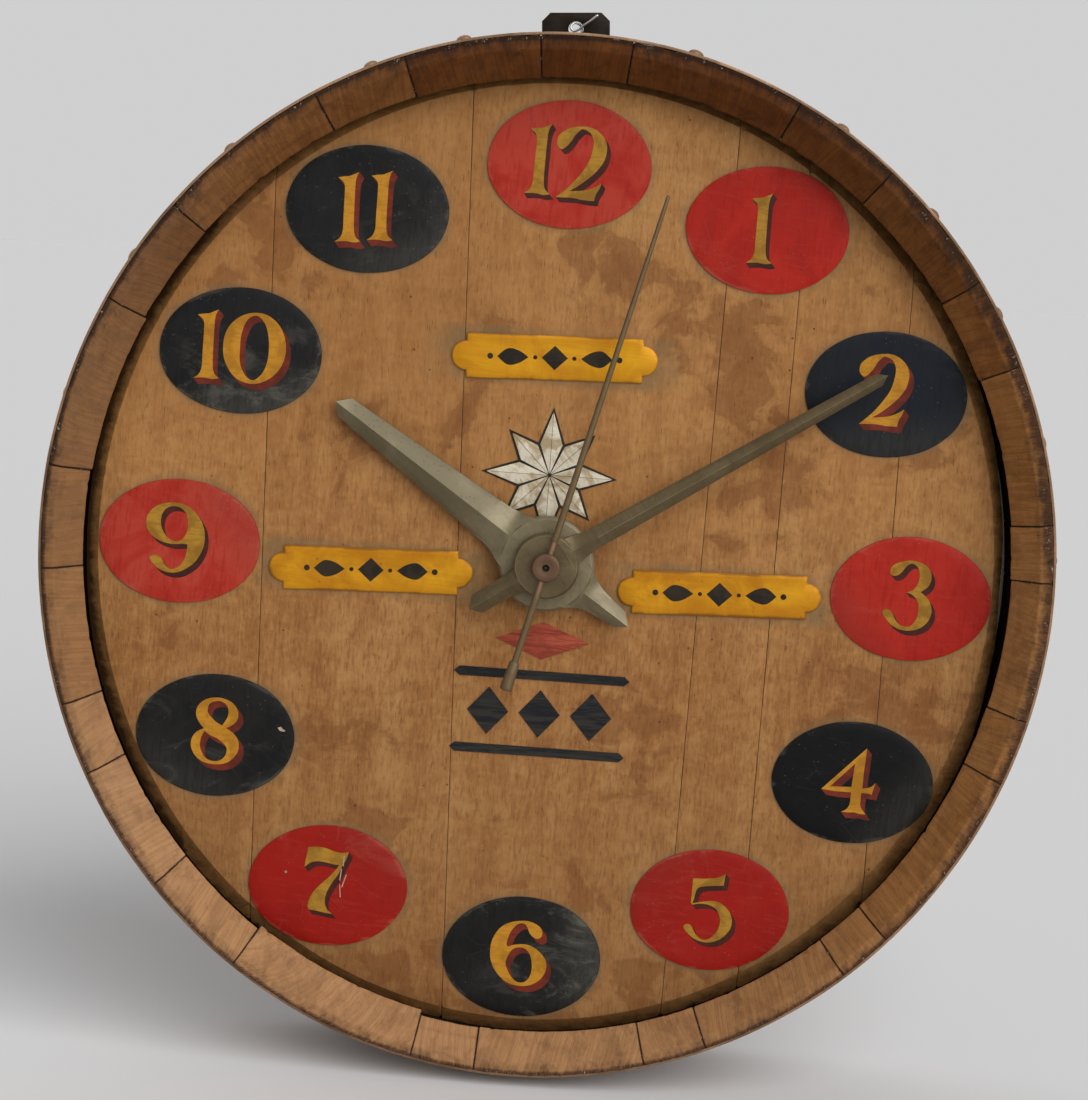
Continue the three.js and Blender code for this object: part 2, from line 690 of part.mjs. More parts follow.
function makeDialNut() {
  const cornerRadius = nutAcrossFlats / 2 / Math.cos(Math.PI / 6);
  const nut = bar(cornerRadius, nutFront, headRecess, 6);
  const bore = bar(bushingRadius + fitGap, nutFront - overrun, headRecess + overrun);
  return pieceOf('dial_nut', nut.subtract(bore), 'steel');
}

// The finished clock, moved so that the hanging point at the wall is the origin
const hangPoint = new THREE.Vector3(
  -hangerHoleShift,
  hangerBack,
  hangerHoleUp + (hangerHoleRadius + hangerHoleToTop) / 2,
);

const clock = new THREE.Group();
clock.name = 'barrel_wall_clock';
clock.add(
  ...makeStaves(),
  ...makeHeadBoards(),
  makeHoop(),
  makeHanger(),
  ...makeOvals(),
  makePlaque('plaque_top', -plaqueShift, topPlaqueUp),
  makePlaque('plaque_left', -sidePlaqueAcross, -sidePlaqueDrop),
  makePlaque('plaque_right', sidePlaqueAcross, -sidePlaqueDrop),
  makeRidgedHand('hour_hand', hourHand, handDegrees.hour, hourPipeRadius),
  makeRidgedHand('minute_hand', minuteHand, handDegrees.minute, minuteTubeRadius),
  makeSecondHand(),
  makeSecondArbor(),
  makeThirdWheel(),
  makeCentreWheel(),
  makeMotionWheel(),
  makeHourWheel(),
  makeMovementCase(),
  makeMotorUnit(),
  makeDialNut(),
);
clock.position.copy(hangPoint).negate();

export default clock;
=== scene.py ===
# Looks of a wall clock made from the sawn-off end of an oak barrel.
# Shapes are drawn in millimetres round the hand arbor, as in the CAD source: x to the right,
# y away from the viewer with 0 at the front ends of the staves, z up.

import math
import random

import bmesh
import bpy
from mathutils import Matrix, Vector, noise
from mathutils.geometry import delaunay_2d_cdt


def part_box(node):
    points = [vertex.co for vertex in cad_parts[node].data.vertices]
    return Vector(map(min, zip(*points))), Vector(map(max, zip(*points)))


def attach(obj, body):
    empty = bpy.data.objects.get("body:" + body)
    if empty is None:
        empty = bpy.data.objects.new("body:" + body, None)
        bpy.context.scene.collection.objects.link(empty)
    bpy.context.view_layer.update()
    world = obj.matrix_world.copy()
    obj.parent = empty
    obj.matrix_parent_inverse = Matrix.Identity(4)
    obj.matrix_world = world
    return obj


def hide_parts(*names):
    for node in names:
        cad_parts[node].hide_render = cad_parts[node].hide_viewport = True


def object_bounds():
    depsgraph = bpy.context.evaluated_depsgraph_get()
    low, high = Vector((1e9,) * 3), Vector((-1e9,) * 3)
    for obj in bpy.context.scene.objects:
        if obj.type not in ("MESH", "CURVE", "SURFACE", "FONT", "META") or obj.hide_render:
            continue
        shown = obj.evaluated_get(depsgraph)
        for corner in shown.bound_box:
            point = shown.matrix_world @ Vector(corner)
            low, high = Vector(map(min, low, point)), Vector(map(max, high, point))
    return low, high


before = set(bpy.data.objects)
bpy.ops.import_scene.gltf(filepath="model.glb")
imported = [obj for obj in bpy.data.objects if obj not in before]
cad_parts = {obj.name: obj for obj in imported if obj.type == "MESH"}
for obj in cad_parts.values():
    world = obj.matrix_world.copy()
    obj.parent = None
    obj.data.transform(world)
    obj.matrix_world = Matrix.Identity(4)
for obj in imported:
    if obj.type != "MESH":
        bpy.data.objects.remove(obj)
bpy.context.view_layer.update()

MM = 0.001
nut_low, nut_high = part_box("dial_nut")
ARBOR = Vector((
    (nut_low.x + nut_high.x) / 2,
    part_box("stave_01")[0].y,
    (nut_low.z + nut_high.z) / 2,
))

# Sizes of the barrel end, as in the CAD source
CHIME_RADIUS = 297
WIDTH_SHARE = 0.966
STAVE_LENGTH = 115
REAR_FLARE = 8
CHIME_FLAT = 7.5
BEVEL_WIDTH = 15.2
BEVEL_DEPTH = 13.2
HEAD_FACE = 30
HEAD_BACK = 50
HEAD_EDGE_BACK = 41
HEAD_BEVEL_WIDTH = 15
GROOVE_DEPTH = 4.5
FIT_GAP = 0.3
DIAL_HALF_HEIGHT = CHIME_RADIUS - CHIME_FLAT - BEVEL_WIDTH


def row(x, y, z):
    """Point of the row frame, in metres."""
    return Vector((ARBOR.x + x * MM, ARBOR.y + y * MM, ARBOR.z + z * MM))


def node_corners(name):
    """Lowest and highest corner of a CAD piece, in millimetres from the arbor."""
    return [[value / MM for value in corner - ARBOR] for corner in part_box(name)]


def node_box(name):
    """Middle and half size of a CAD piece, in millimetres from the arbor."""
    low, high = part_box(name)
    return [[value / MM for value in part] for part in ((low + high) / 2 - ARBOR, (high - low) / 2)]


def clamp(value, low=0.0, high=1.0):
    return max(low, min(high, value))


def soft_step(low, high, value):
    share = clamp((value - low) / (high - low))
    return share * share * (3 - 2 * share)


def grain_noise(x, y, z=0.0):
    """Smooth noise about 0, from places in any unit."""
    return noise.fractal(Vector((x, y, z)), 1.0, 2.0, 3)


# Materials

class Look:
    """A material, with short calls that add its nodes. A range is a tuple of a value and the limits
    that between() takes."""

    def __init__(self, name):
        self.material = bpy.data.materials.new(name)
        self.material.use_nodes = True
        self.tree = self.material.node_tree
        self.where = self.add("ShaderNodeTexCoord", "Object", {})
        self.place = self.where
        self.colour = None

    def add(self, kind, out, sockets, **settings):
        """Output of a new node, with its settings and what goes into its sockets."""
        node = self.tree.nodes.new(kind)
        for key, value in settings.items():
            setattr(node, key, value)
        for key, value in sockets.items():
            self.feed(node.inputs[key], value)
        return node.outputs[out]

    def feed(self, socket, value):
        if isinstance(value, bpy.types.NodeSocket):
            self.tree.links.new(value, socket)
        elif socket.type == "RGBA":
            socket.default_value = (*value, 1)
        else:
            socket.default_value = value

    def scaled(self, scale, at=None, tilt=0.0, origin=(0, 0, 0)):
        """A place in other units: each axis times its scale, after a turn about Y."""
        x, y, z = scale if isinstance(scale, tuple) else (scale, scale, scale)
        return self.add("ShaderNodeMapping", "Vector", {
            "Vector": at or self.place, "Location": origin, "Rotation": (0, tilt, 0),
            "Scale": (1 / x, 1 / y, 1 / z),
        }, vector_type="TEXTURE")

    def grain(self, scale, detail, rough, bend=0.0, **how):
        """Soft noise from 0 to 1. Scale is how often it changes in a unit, for all axes or for each."""
        return self.add("ShaderNodeTexNoise", "Fac", {
            "Vector": self.scaled(scale, **how), "Scale": 1, "Detail": detail, "Roughness": rough,
            "Distortion": bend,
        })

    def cells(self, scale, feature="F1", **how):
        return self.add("ShaderNodeTexVoronoi", "Distance", {
            "Vector": self.scaled(scale, **how), "Scale": 1,
        }, feature=feature)

    def ramp(self, value, *stops):
        """Colour that follows a value through (place, colour) stops."""
        result = self.add("ShaderNodeValToRGB", "Color", {"Fac": value})
        elements = result.node.color_ramp.elements
        while len(elements) < len(stops):
            elements.new(0.5)
        for element, (position, colour) in zip(elements, stops):
            element.position = position
            element.color = (*colour, 1)
        return result

    def between(self, value, low, high, out_low=0.0, out_high=1.0):
        return self.add("ShaderNodeMapRange", "Result", {
            "Value": value, "From Min": low, "From Max": high, "To Min": out_low, "To Max": out_high,
        }, interpolation_type="SMOOTHSTEP")

    def mix(self, share, first, second, kind="MIX"):
        sockets = {0: share, 6: first, 7: second}
        return self.add("ShaderNodeMix", 2, sockets, data_type="RGBA", blend_type=kind)

    def math(self, kind, first, second):
        return self.add("ShaderNodeMath", 0, {0: first, 1: second}, operation=kind)

    def combined(self, kind, parts):
        """Parts added or multiplied. A part is a socket, a socket with its weight, or a range."""
        result = None
        for part in parts:
            if isinstance(part, tuple):
                part = self.math("MULTIPLY", *part) if len(part) == 2 else self.between(*part)
            result = part if result is None else self.math(kind, result, part)
        return result

    def total(self, *parts):
        return self.combined("ADD", parts)

    def product(self, *parts):
        return self.combined("MULTIPLY", parts)

    def lay(self, colour, share, *masks, kind="MIX"):
        """Mixes a colour over the present one where all the masks say, up to a share."""
        if len(masks) == 1 and isinstance(masks[0], tuple):
            mask = self.between(*masks[0], 0, share)
        else:
            mask = self.product(*masks)
            if share != 1:
                mask = self.math("MULTIPLY", mask, share)
        self.colour = self.mix(mask, self.colour, colour, kind)

    def stored(self, name, out="Fac"):
        return self.add("ShaderNodeAttribute", out, {}, attribute_name=name)

    def parts(self, vector):
        return self.add("ShaderNodeSeparateXYZ", 0, {0: vector}).node.outputs

    def shifted(self, amount, step):
        """Places moved by a number times a step, so that like pieces don't share one grain."""
        move = self.add("ShaderNodeVectorMath", 0, {0: step, "Scale": amount}, operation="SCALE")
        return self.add("ShaderNodeVectorMath", 0, {0: self.where, 1: move}, operation="ADD")

    def from_arbor(self):
        """Distance from the hand arbor, seen from the front, in metres."""
        flat = self.scaled((1, 1e-6, 1), origin=tuple(ARBOR))
        return self.add("ShaderNodeVectorMath", "Value", {0: flat}, operation="LENGTH")

    def finish(self, rough, relief, depth, metal=0.0, level=0.5):
        """Sets the surface. Rough is a range; relief is a height from 0 to 1, and depth its size in
        millimetres."""
        bump = {"Strength": 1, "Distance": depth * MM, "Height": relief}
        shader = self.tree.nodes["Principled BSDF"].inputs
        for key, value in (
            ("Base Color", self.colour), ("Roughness", self.between(*rough)), ("Metallic", metal),
            ("Specular IOR Level", level), ("Normal", self.add("ShaderNodeBump", "Normal", bump)),
        ):
            self.feed(shader[key], value)
        return self.material


def stave_wood():
    """Oak of the staves. Stored values: grain holds the ring, the ray and the depth in
    millimetres; the other vector holds the end grain, the grime together with painted shade in the
    groove and on the outermost edge, and the tone."""
    look = Look("stave_oak")
    across = look.parts(look.where)[0]
    on_end, dirt_and_shade, tone = look.parts(look.stored("wear_and_shade", "Vector"))
    look.place = look.stored("grain", "Vector")
    rings = look.grain((0.5, 0.03, 0.05), 3, 0.6, 0.3)
    fine_rings = look.grain((2.2, 0.12, 0.12), 3, 0.65)
    saw_marks = look.grain((0.7, 1.1, 0.1), 3, 0.7, 0.6)
    patches = look.grain((0.06, 0.07, 0.03), 5, 0.62, 0.6)
    smears = look.grain((0.1, 0.16, 0.05), 4, 0.65, 0.7, origin=(3, 5, 7))
    teeth = look.grain((0.9, 0.16, 0.1), 3, 0.6)
    specks = look.grain((0.9, 0.5, 0.4), 3, 0.7)
    grime = look.grain((110, 110, 60), 5, 0.66, at=look.where)
    pores = look.cells((1.5, 1.5, 0.03))
    light = look.ramp(tone, (0, (0.105, 0.031, 0.0045)), (0.45, (0.265, 0.113, 0.033)),
                      (1, (0.44, 0.236, 0.108)))
    dark = look.ramp(tone, (0, (0.058, 0.016, 0.0025)), (0.45, (0.15, 0.06, 0.018)),
                     (1, (0.28, 0.143, 0.063)))
    shadow = look.ramp(tone, (0, (0.02, 0.007, 0.0025)), (1, (0.17, 0.072, 0.028)))
    soil = look.ramp(tone, (0, (0.014, 0.0075, 0.0045)), (0.5, (0.045, 0.021, 0.012)),
                     (1, (0.12, 0.056, 0.034)))
    lines = look.between(rings, 0.42, 0.6)
    fine_lines = look.between(fine_rings, 0.42, 0.6)
    pits = look.product((pores, 0.3, 0.12), (rings, 0.45, 0.6))
    look.colour = light
    look.lay(dark, 0.45, lines)
    look.lay(dark, 0.34, fine_lines)
    look.lay(light, 0.3, (saw_marks, 0.5, 0.64))
    look.lay(dark, 0.55, (patches, 0.48, 0.62))
    look.lay(shadow, 0.4, (smears, 0.5, 0.72))
    look.lay((0.05, 0.02, 0.006), 0.4, pits)
    # Painted shade on the right-hand staves and painted light on the left-hand ones, by their place across
    # the clock.
    look.lay((0.97, 0.91, 0.76), 1, (across, ARBOR.x + 0.1, ARBOR.x + 0.26), kind="MULTIPLY")
    look.lay((0.34, 0.215, 0.12), 0.2, (across, ARBOR.x - 0.15, ARBOR.x - 0.27))
    swing = look.product((grime, 0.3, 0.7, -0.3, 0.3), (on_end, 0, 1, 0.4, 1))
    reach = look.total(dirt_and_shade, swing, (teeth, 0.35, 0.65, -0.08, 0.08))
    look.lay(look.mix(fine_lines, soil, (0.018, 0.01, 0.007)), 0.9, look.between(reach, 0.05, 0.95))
    look.lay((0.4, 0.34, 0.26), 0.75, (specks, 0.57, 0.66), (dirt_and_shade, 0.6, 0.9), (grime, 0.52, 0.6))
    # Near black where the value passes 1.2: painted shade on the inner wall behind the bevel, and the dark
    # joints and packing.
    look.lay((0.012, 0.007, 0.004), 1, (dirt_and_shade, 1.2, 1.9))
    relief = look.total((lines, -0.4), (fine_rings, 0.9), (saw_marks, 0.7), (pits, -0.5),
                        (look.product(grime, dirt_and_shade), 2.0))
    return look.finish((dirt_and_shade, 0.2, 0.9, 0.6, 0.85), relief, 0.2, level=0.1)


def head_wood():
    """Boards with upright threads of grain, painted darker towards the bottom and lighter towards
    the top as painted shade and painted light. Stored values: piece is the board; mark holds the
    stains with a broad painted shade along the bottom, the dust round the plates, and a darkening
    down the bevel towards the groove, most on the far left, with the dark joint lines."""
    look = Look("head_oak")
    across, deep, height = look.parts(look.where)
    stained_and_shaded, dust, edge = look.parts(look.stored("mark", "Vector"))
    look.place = look.shifted(look.stored("piece"), (0.37, 0.13, 0.71))
    bands = look.grain((60, 60, 4), 4, 0.6, 0.4)
    threads = look.grain((620, 620, 120), 4, 0.72, 0.25)
    figure = look.grain((85, 85, 140), 5, 0.66, 0.8)
    blotches = look.grain((19, 19, 11), 5, 0.64, 0.9)
    saw_lines = look.grain((9, 9, 620), 3, 0.65, tilt=0.05)
    wander = look.grain((44, 44, 50), 5, 0.6, 0.45, at=look.where)
    pores = look.cells((700, 700, 90))
    dots = look.cells(80)
    pits = look.product((pores, 0.24, 0.1), (figure, 0.46, 0.56))
    look.colour = look.ramp(bands, (0.35, (0.27, 0.115, 0.033)), (0.5, (0.325, 0.148, 0.045)),
                            (0.65, (0.365, 0.18, 0.06)))
    look.lay((0.235, 0.09, 0.026), 0.5, (blotches, 0.48, 0.7))
    look.lay((0.42, 0.222, 0.08), 0.5, (blotches, 0.48, 0.3))
    look.lay((0.225, 0.083, 0.023), 0.4, (figure, 0.46, 0.68))
    look.lay((0.43, 0.22, 0.08), 0.34, (figure, 0.52, 0.32))
    look.lay((0.165, 0.064, 0.021), 0.58, (threads, 0.48, 0.66))
    look.lay((0.46, 0.26, 0.1), 0.3, (threads, 0.48, 0.32))
    # Painted shade towards the bottom of the head and painted light towards its top.
    look.lay((0.2, 0.097, 0.036), 0.38, (height, ARBOR.z + 0.02, ARBOR.z - 0.26))
    look.lay((0.46, 0.223, 0.072), 0.26, (height, ARBOR.z - 0.08, ARBOR.z + 0.1))
    look.lay((0.2, 0.073, 0.016), 1, (across, ARBOR.x, ARBOR.x - 0.06),
             (height, ARBOR.z + 0.02, ARBOR.z + 0.12, 0, 0.3))
    # Stains, with the broad painted shade along the bottom.
    reach = look.total(stained_and_shaded, (wander, 0.3, 0.7, -0.34, 0.34))
    look.lay((0.168, 0.059, 0.017), 0.74, (reach, 0.08, 0.92))
    look.lay((0.115, 0.037, 0.01), 0.24, (reach, 0.34, 0.48), (reach, 0.64, 0.5))
    look.lay((0.07, 0.028, 0.01), 0.5, pits)
    look.lay((0.045, 0.02, 0.009), 0.75, (dots, 0.07, 0.04), (blotches, 0.47, 0.53))
    look.lay((0.17, 0.115, 0.055), 0.6, dust, (wander, 0.35, 0.6, 0.2, 1.0))
    # Darker down the bevel towards the groove, most on the far left, and along the joints.
    tint_mark = look.total(edge, (figure, 0.35, 0.65, -0.12, 0.12))
    look.lay((0.2, 0.098, 0.033), 0.5, (tint_mark, 0.2, 0.42))
    look.lay((0.03, 0.014, 0.006), 0.92, (tint_mark, 0.34, 0.9))
    back = look.between(deep, ARBOR.y + 0.040, ARBOR.y + 0.046)
    raw = look.mix(look.between(saw_lines, 0.4, 0.66), (0.27, 0.17, 0.088), (0.215, 0.13, 0.066))
    look.lay(raw, 0.55, back)
    relief = look.total((threads, 0.9), (pits, -0.6), (figure, 0.5), (look.product(saw_lines, back), 1.5))
    return look.finish((blotches, 0.3, 0.7, 0.46, 0.6), relief, 0.13, level=0.12)


def enamel(name, base, deep, pale, scuff, edge):
    """Aged satin paint of an oval, with fine upright crackle, scuffs, a rubbed edge and a thin painted
    shade line round the edge. Stored values: coat holds the fading, the side painted with the last
    colour (a painted sheen, lighter, on navy; a painted shade, darker, on red) and the scuffs."""
    look = Look(name)
    rim = look.stored("rim")
    fading, paler, scuffed = look.parts(look.stored("coat", "Vector"))
    look.place = look.shifted(look.stored("piece"), (0.31, 0.17, 0.53))
    clouds = look.grain((34, 34, 26), 5, 0.62, 0.7)
    crackle = look.grain((520, 520, 60), 3, 0.65, 0.2, tilt=0.05)
    strokes = look.grain((50, 50, 420), 3, 0.6, tilt=0.08)
    scuffs = look.grain((24, 24, 40), 6, 0.72, 1.2)
    scratches = look.cells((30, 30, 110), "DISTANCE_TO_EDGE", tilt=0.5)
    specks = look.cells(300)
    look.colour = base
    look.lay(deep, 0.5, (clouds, 0.4, 0.66))
    look.lay(pale, 1, fading, (clouds, 0.62, 0.36, 0.3, 1.0))
    look.lay(deep, 1, (fading, 0.0, -1.0))
    look.lay(deep, 0.4, (crackle, 0.52, 0.64))
    look.lay(pale, 0.14, (strokes, 0.53, 0.66))
    # The side colour: a painted sheen, lighter, on the navy ovals and a painted shade, darker, on the red
    # ones.
    look.lay(edge, 1, paler, (crackle, 0.35, 0.65, 1.0, 0.6))
    look.lay(scuff, 0.42, (scuffs, 0.5, 0.68), scuffed)
    look.lay(scuff, 0.12, (scratches, 0.012, 0.004), (clouds, 0.5, 0.58))
    look.lay(scuff, 0.55, (specks, 0.14, 0.07), (scuffs, 0.46, 0.55))
    rubbed = look.total(rim, (scuffs, 0.35, 0.65, -0.06, 0.06))
    look.lay(scuff, 0.4, (rubbed, 0.98, 1.05))
    # A thin painted shade line round the very edge of the oval.
    look.lay(deep, 0.6, (rim, 0.985, 1.0))
    relief = look.total(clouds, (strokes, 0.4), (crackle, 0.3))
    return look.finish((scuffs, 0.4, 0.62, 0.4, 0.6), relief, 0.08, level=0.13)


def brushed_paint(name, light, dark):
    """Paint laid on with a brush: fine streaks and a mottle."""
    look = Look(name)
    mottle = look.grain(85, 4, 0.6, 0.4)
    streaks = look.grain((90, 90, 500), 3, 0.6)
    look.colour = light
    look.lay(dark, 1, (mottle, 0.4, 0.62))
    look.lay(dark, 0.55, (streaks, 0.48, 0.64))
    relief = look.total(mottle, (streaks, 0.6))
    return look.finish((mottle, 0.35, 0.65, 0.45, 0.6), relief, 0.06, level=0.15)


def brass_plate():
    """Lacquered brass of the plaques, with long brush lines, upright scratches and dull patches; darker
    towards the edge, with a thin painted shade line along the very edge.
    """
    look = Look("plaque_brass")
    look.place = look.shifted(look.stored("piece"), (0.21, 0.1, 0.33))
    patches = look.grain((24, 24, 34), 4, 0.62, 0.7)
    lines = look.grain((16, 16, 800), 4, 0.7, tilt=0.06)
    scratches = look.grain((420, 420, 24), 3, 0.65, tilt=-0.1)
    spots = look.cells(170)
    look.colour = (0.66, 0.315, 0.01)
    look.lay((0.41, 0.16, 0.004), 1, (patches, 0.34, 0.66))
    look.lay((0.34, 0.13, 0.006), 0.2, (lines, 0.48, 0.66))
    look.lay((0.76, 0.42, 0.035), 0.2, (lines, 0.42, 0.3))
    look.lay((0.3, 0.12, 0.008), 0.12, (scratches, 0.52, 0.68))
    look.lay((0.16, 0.06, 0.012), 0.6, (spots, 0.16, 0.07), (patches, 0.48, 0.56))
    brim = look.total(look.stored("rim"), (patches, 0.35, 0.65, -0.03, 0.03))
    look.lay((0.42, 0.15, 0.003), 0.45, (brim, 0.45, 0.95))
    # A thin painted shade line along the very edge of the plate.
    look.lay((0.15, 0.06, 0.01), 0.75, (brim, 0.92, 0.99))
    return look.finish((patches, 0.35, 0.65, 0.3, 0.46), look.total(lines, patches), 0.04, 0.3, 0.16)


def cast_metal(name, light, dark, pit, bright, metal, rough=(0.45, 0.62), file_tilt=0.9, depth=0.1,
               level=0.25):
    """Dull filed metal with tarnish clouds, file marks, pits and brighter rubbed edges. The stored
    value is 1 on a rounded, rubbed edge and -1 on a side painted paler, as painted light."""
    look = Look(name)
    tint_mark = look.stored("tint_mark")
    clouds = look.grain(26, 5, 0.64, 0.4)
    speckle = look.grain(330, 3, 0.65)
    marks = look.grain((60, 60, 900), 3, 0.65, tilt=file_tilt)
    pits = look.product((look.cells(420), 0.22, 0.09), (clouds, 0.47, 0.56))
    look.colour = light
    look.lay(dark, 1, (clouds, 0.3, 0.72))
    look.lay(dark, 0.35, (marks, 0.5, 0.66))
    look.lay(dark, 0.3, (speckle, 0.5, 0.66))
    # Painted light: the side marked -1 is painted paler.
    look.lay(bright, 0.24, (tint_mark, -0.2, -0.9))
    look.lay(bright, 1, (tint_mark, 0, 1), (clouds, 0.6, 0.42, 0.1, 0.6))
    look.lay(pit, 0.4, pits)
    relief = look.total((marks, 0.5), clouds, (speckle, 0.6), (pits, -1.0))
    return look.finish((clouds, 0.35, 0.65, *rough), relief, depth, metal, level)


def second_hand_metal():
    """Brown copper; the bare stubs next to the hub are pinker and brighter."""
    look = Look("second_copper")
    clouds = look.grain(120, 4, 0.6, 0.5)
    marks = look.grain((900, 900, 60), 2, 0.6, tilt=-0.24)
    reach = look.from_arbor()
    look.colour = look.mix(clouds, (0.15, 0.082, 0.042), (0.075, 0.038, 0.02))
    look.lay(look.mix(clouds, (0.3, 0.175, 0.105), (0.17, 0.09, 0.052)), 1, (reach, 0.0079, 0.0085))
    look.lay(look.mix(clouds, (0.175, 0.118, 0.055), (0.095, 0.063, 0.03)), 1, (reach, 0.0155, 0.0162))
    look.lay((0.015, 0.01, 0.008), 1, (reach, 0.0024, 0.0018))
    look.lay((0.07, 0.04, 0.022), 0.3, (marks, 0.5, 0.75))
    return look.finish((clouds, 0.3, 0.7, 0.4, 0.58), look.total(clouds, marks), 0.05, 0.35, 0.3)


def sawn_oak_inlay(name, light, dark, vein):
    """Stained wood inlay with lengthwise wavy grain."""
    look = Look(name)
    grain = look.grain((30, 30, 330), 4, 0.65, 0.9)
    clouds = look.grain((40, 40, 55), 4, 0.6)
    pits = look.between(look.cells((90, 90, 1300)), 0.24, 0.1)
    look.colour = light
    look.lay(dark, 1, (grain, 0.42, 0.58))
    look.lay(dark, 0.5, (clouds, 0.48, 0.64))
    look.lay(vein, 0.6, pits)
    return look.finish((clouds, 0.3, 0.7, 0.48, 0.65), look.total(grain, (pits, -0.6)), 0.1, level=0.12)


def silver_inlay():
    """Pale polished inlay, clouded grey-brown where it is tarnished."""
    look = Look("silver_inlay")
    clouds = look.grain(75, 5, 0.66, 0.8)
    marks = look.grain((150, 150, 1300), 2, 0.6, tilt=0.4)
    look.colour = (0.64, 0.58, 0.45)
    look.lay((0.36, 0.27, 0.155), 1, (clouds, 0.42, 0.6))
    look.lay((0.44, 0.36, 0.24), 0.35, (marks, 0.5, 0.66))
    return look.finish((clouds, 0.3, 0.7, 0.34, 0.52), look.total(clouds, marks), 0.05, 0.2, 0.3)


def machined(name, light, dark, metal, rough):
    """Machined or moulded surface with fine turning marks and handling marks."""
    look = Look(name)
    turning = look.grain(1500, 2, 0.5, at=look.shifted(look.from_arbor(), (3, 3, 3)))
    clouds = look.grain(45, 4, 0.6, 0.4)
    look.colour = light
    look.lay(dark, 1, (clouds, 0.38, 0.68))
    look.lay(dark, 0.25, (turning, 0.55, 0.75))
    return look.finish((clouds, 0.3, 0.7, rough, rough + 0.15), look.total(turning, clouds), 0.03, metal)


STAVE = stave_wood()
HEAD = head_wood()
# The last colour of each enamel is that of its painted side: a painted shade on red, a painted sheen on
# navy.
RED = enamel("red_enamel", (0.37, 0.0115, 0.0045), (0.235, 0.0062, 0.0028), (0.385, 0.048, 0.028),
             (0.37, 0.1, 0.07), (0.15, 0.02, 0.012))
NAVY = enamel("navy_enamel", (0.0105, 0.01, 0.0092), (0.0022, 0.0022, 0.0024), (0.0055, 0.0085, 0.0145),
              (0.1, 0.092, 0.074), (0.045, 0.042, 0.035))
GOLD = brushed_paint("gold_leaf", (0.47, 0.212, 0.017), (0.33, 0.14, 0.01))
GOLD_ON_RED = brushed_paint("gold_leaf_dull", (0.37, 0.19, 0.02), (0.235, 0.112, 0.012))
SHADE_ON_NAVY = brushed_paint("shade_brown", (0.16, 0.022, 0.0095), (0.09, 0.0145, 0.008))
SHADE_ON_RED = brushed_paint("shade_maroon", (0.062, 0.0125, 0.008), (0.034, 0.009, 0.0065))
PALE_GROUND = brushed_paint("pale_ground", (0.46, 0.37, 0.27), (0.3, 0.22, 0.15))
BLACK = brushed_paint("ornament_black", (0.0125, 0.0095, 0.006), (0.028, 0.019, 0.01))
PLAQUE = brass_plate()
HAND = cast_metal("hand_metal", (0.15, 0.113, 0.058), (0.085, 0.06, 0.028), (0.035, 0.025, 0.014),
                  (0.44, 0.385, 0.265), 0.55, level=0.3)
# A lighter copy of the hand metal for the hour hand: painted light, as both hands are of one metal.
HOUR_HAND_LIT = cast_metal("hour_hand_metal_lit", (0.2, 0.165, 0.096), (0.132, 0.106, 0.058), (0.045, 0.034, 0.02),
                       (0.33, 0.3, 0.21), 0.5, level=0.3)
SECOND = second_hand_metal()
COPPER = cast_metal("hoop_copper", (0.36, 0.21, 0.115), (0.17, 0.095, 0.05), (0.06, 0.032, 0.02),
                    (0.5, 0.35, 0.22), 0.45, (0.4, 0.62), 1.5)
STEEL = cast_metal("dark_steel", (0.019, 0.011, 0.006), (0.011, 0.0065, 0.004), (0.05, 0.019, 0.008),
                   (0.06, 0.042, 0.03), 0.15, (0.5, 0.75), 0.3, 0.15, 0.15)
WIRE = cast_metal("silver_wire", (0.62, 0.6, 0.57), (0.4, 0.38, 0.36), (0.2, 0.19, 0.18),
                  (0.7, 0.68, 0.65), 0.85, (0.2, 0.35), 0.3, 0.03, 0.5)
SILVER = silver_inlay()
DARK_INLAY = brushed_paint("dark_ground", (0.028, 0.022, 0.014), (0.014, 0.011, 0.008))
RED_INLAY = sawn_oak_inlay("red_inlay", (0.36, 0.07, 0.037), (0.2, 0.034, 0.018), (0.07, 0.014, 0.009))
NAVY_INLAY = sawn_oak_inlay("navy_inlay", (0.026, 0.024, 0.02), (0.01, 0.0105, 0.012), (0.045, 0.046, 0.05))
GEAR = machined("gear_brass", (0.5, 0.33, 0.11), (0.36, 0.225, 0.07), 0.85, 0.3)
GROUND = machined("ground_steel", (0.46, 0.45, 0.44), (0.32, 0.31, 0.3), 0.9, 0.3)
BLACK_CAN = machined("motor_black", (0.03, 0.03, 0.032), (0.02, 0.02, 0.022), 0.2, 0.42)

CAD_LOOKS = {
    "oak": STAVE, "head_oak": HEAD, "copper": COPPER, "steel": STEEL, "red_paint": RED,
    "navy_paint": NAVY, "plaque_brass": PLAQUE, "hand_metal": HAND, "second_metal": SECOND,
    "arbor_steel": GROUND, "gear_brass": GEAR, "motor_black": BLACK_CAN,
}
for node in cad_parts.values():
    node["record_slot"] = node.data.materials[0].name.split(".")[0]
    node.data.materials[0] = CAD_LOOKS[node["record_slot"]]
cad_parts["second_arbor"].data.materials[0] = SECOND
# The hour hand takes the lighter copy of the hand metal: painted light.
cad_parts["hour_hand"].data.materials[0] = HOUR_HAND_LIT


# Shapes

def place_piece(name, mesh, look, slot, body, stands_for, sharp):
    """Shades a mesh and lets it ride on a body, in place of the CAD piece that it stands for."""
    mesh.materials.append(look)
    mesh.shade_smooth()
    mesh.set_sharp_from_angle(angle=math.radians(sharp))
    made = bpy.data.objects.new(name, mesh)
    bpy.context.scene.collection.objects.link(made)
    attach(made, body)
    if stands_for:
        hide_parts(stands_for)


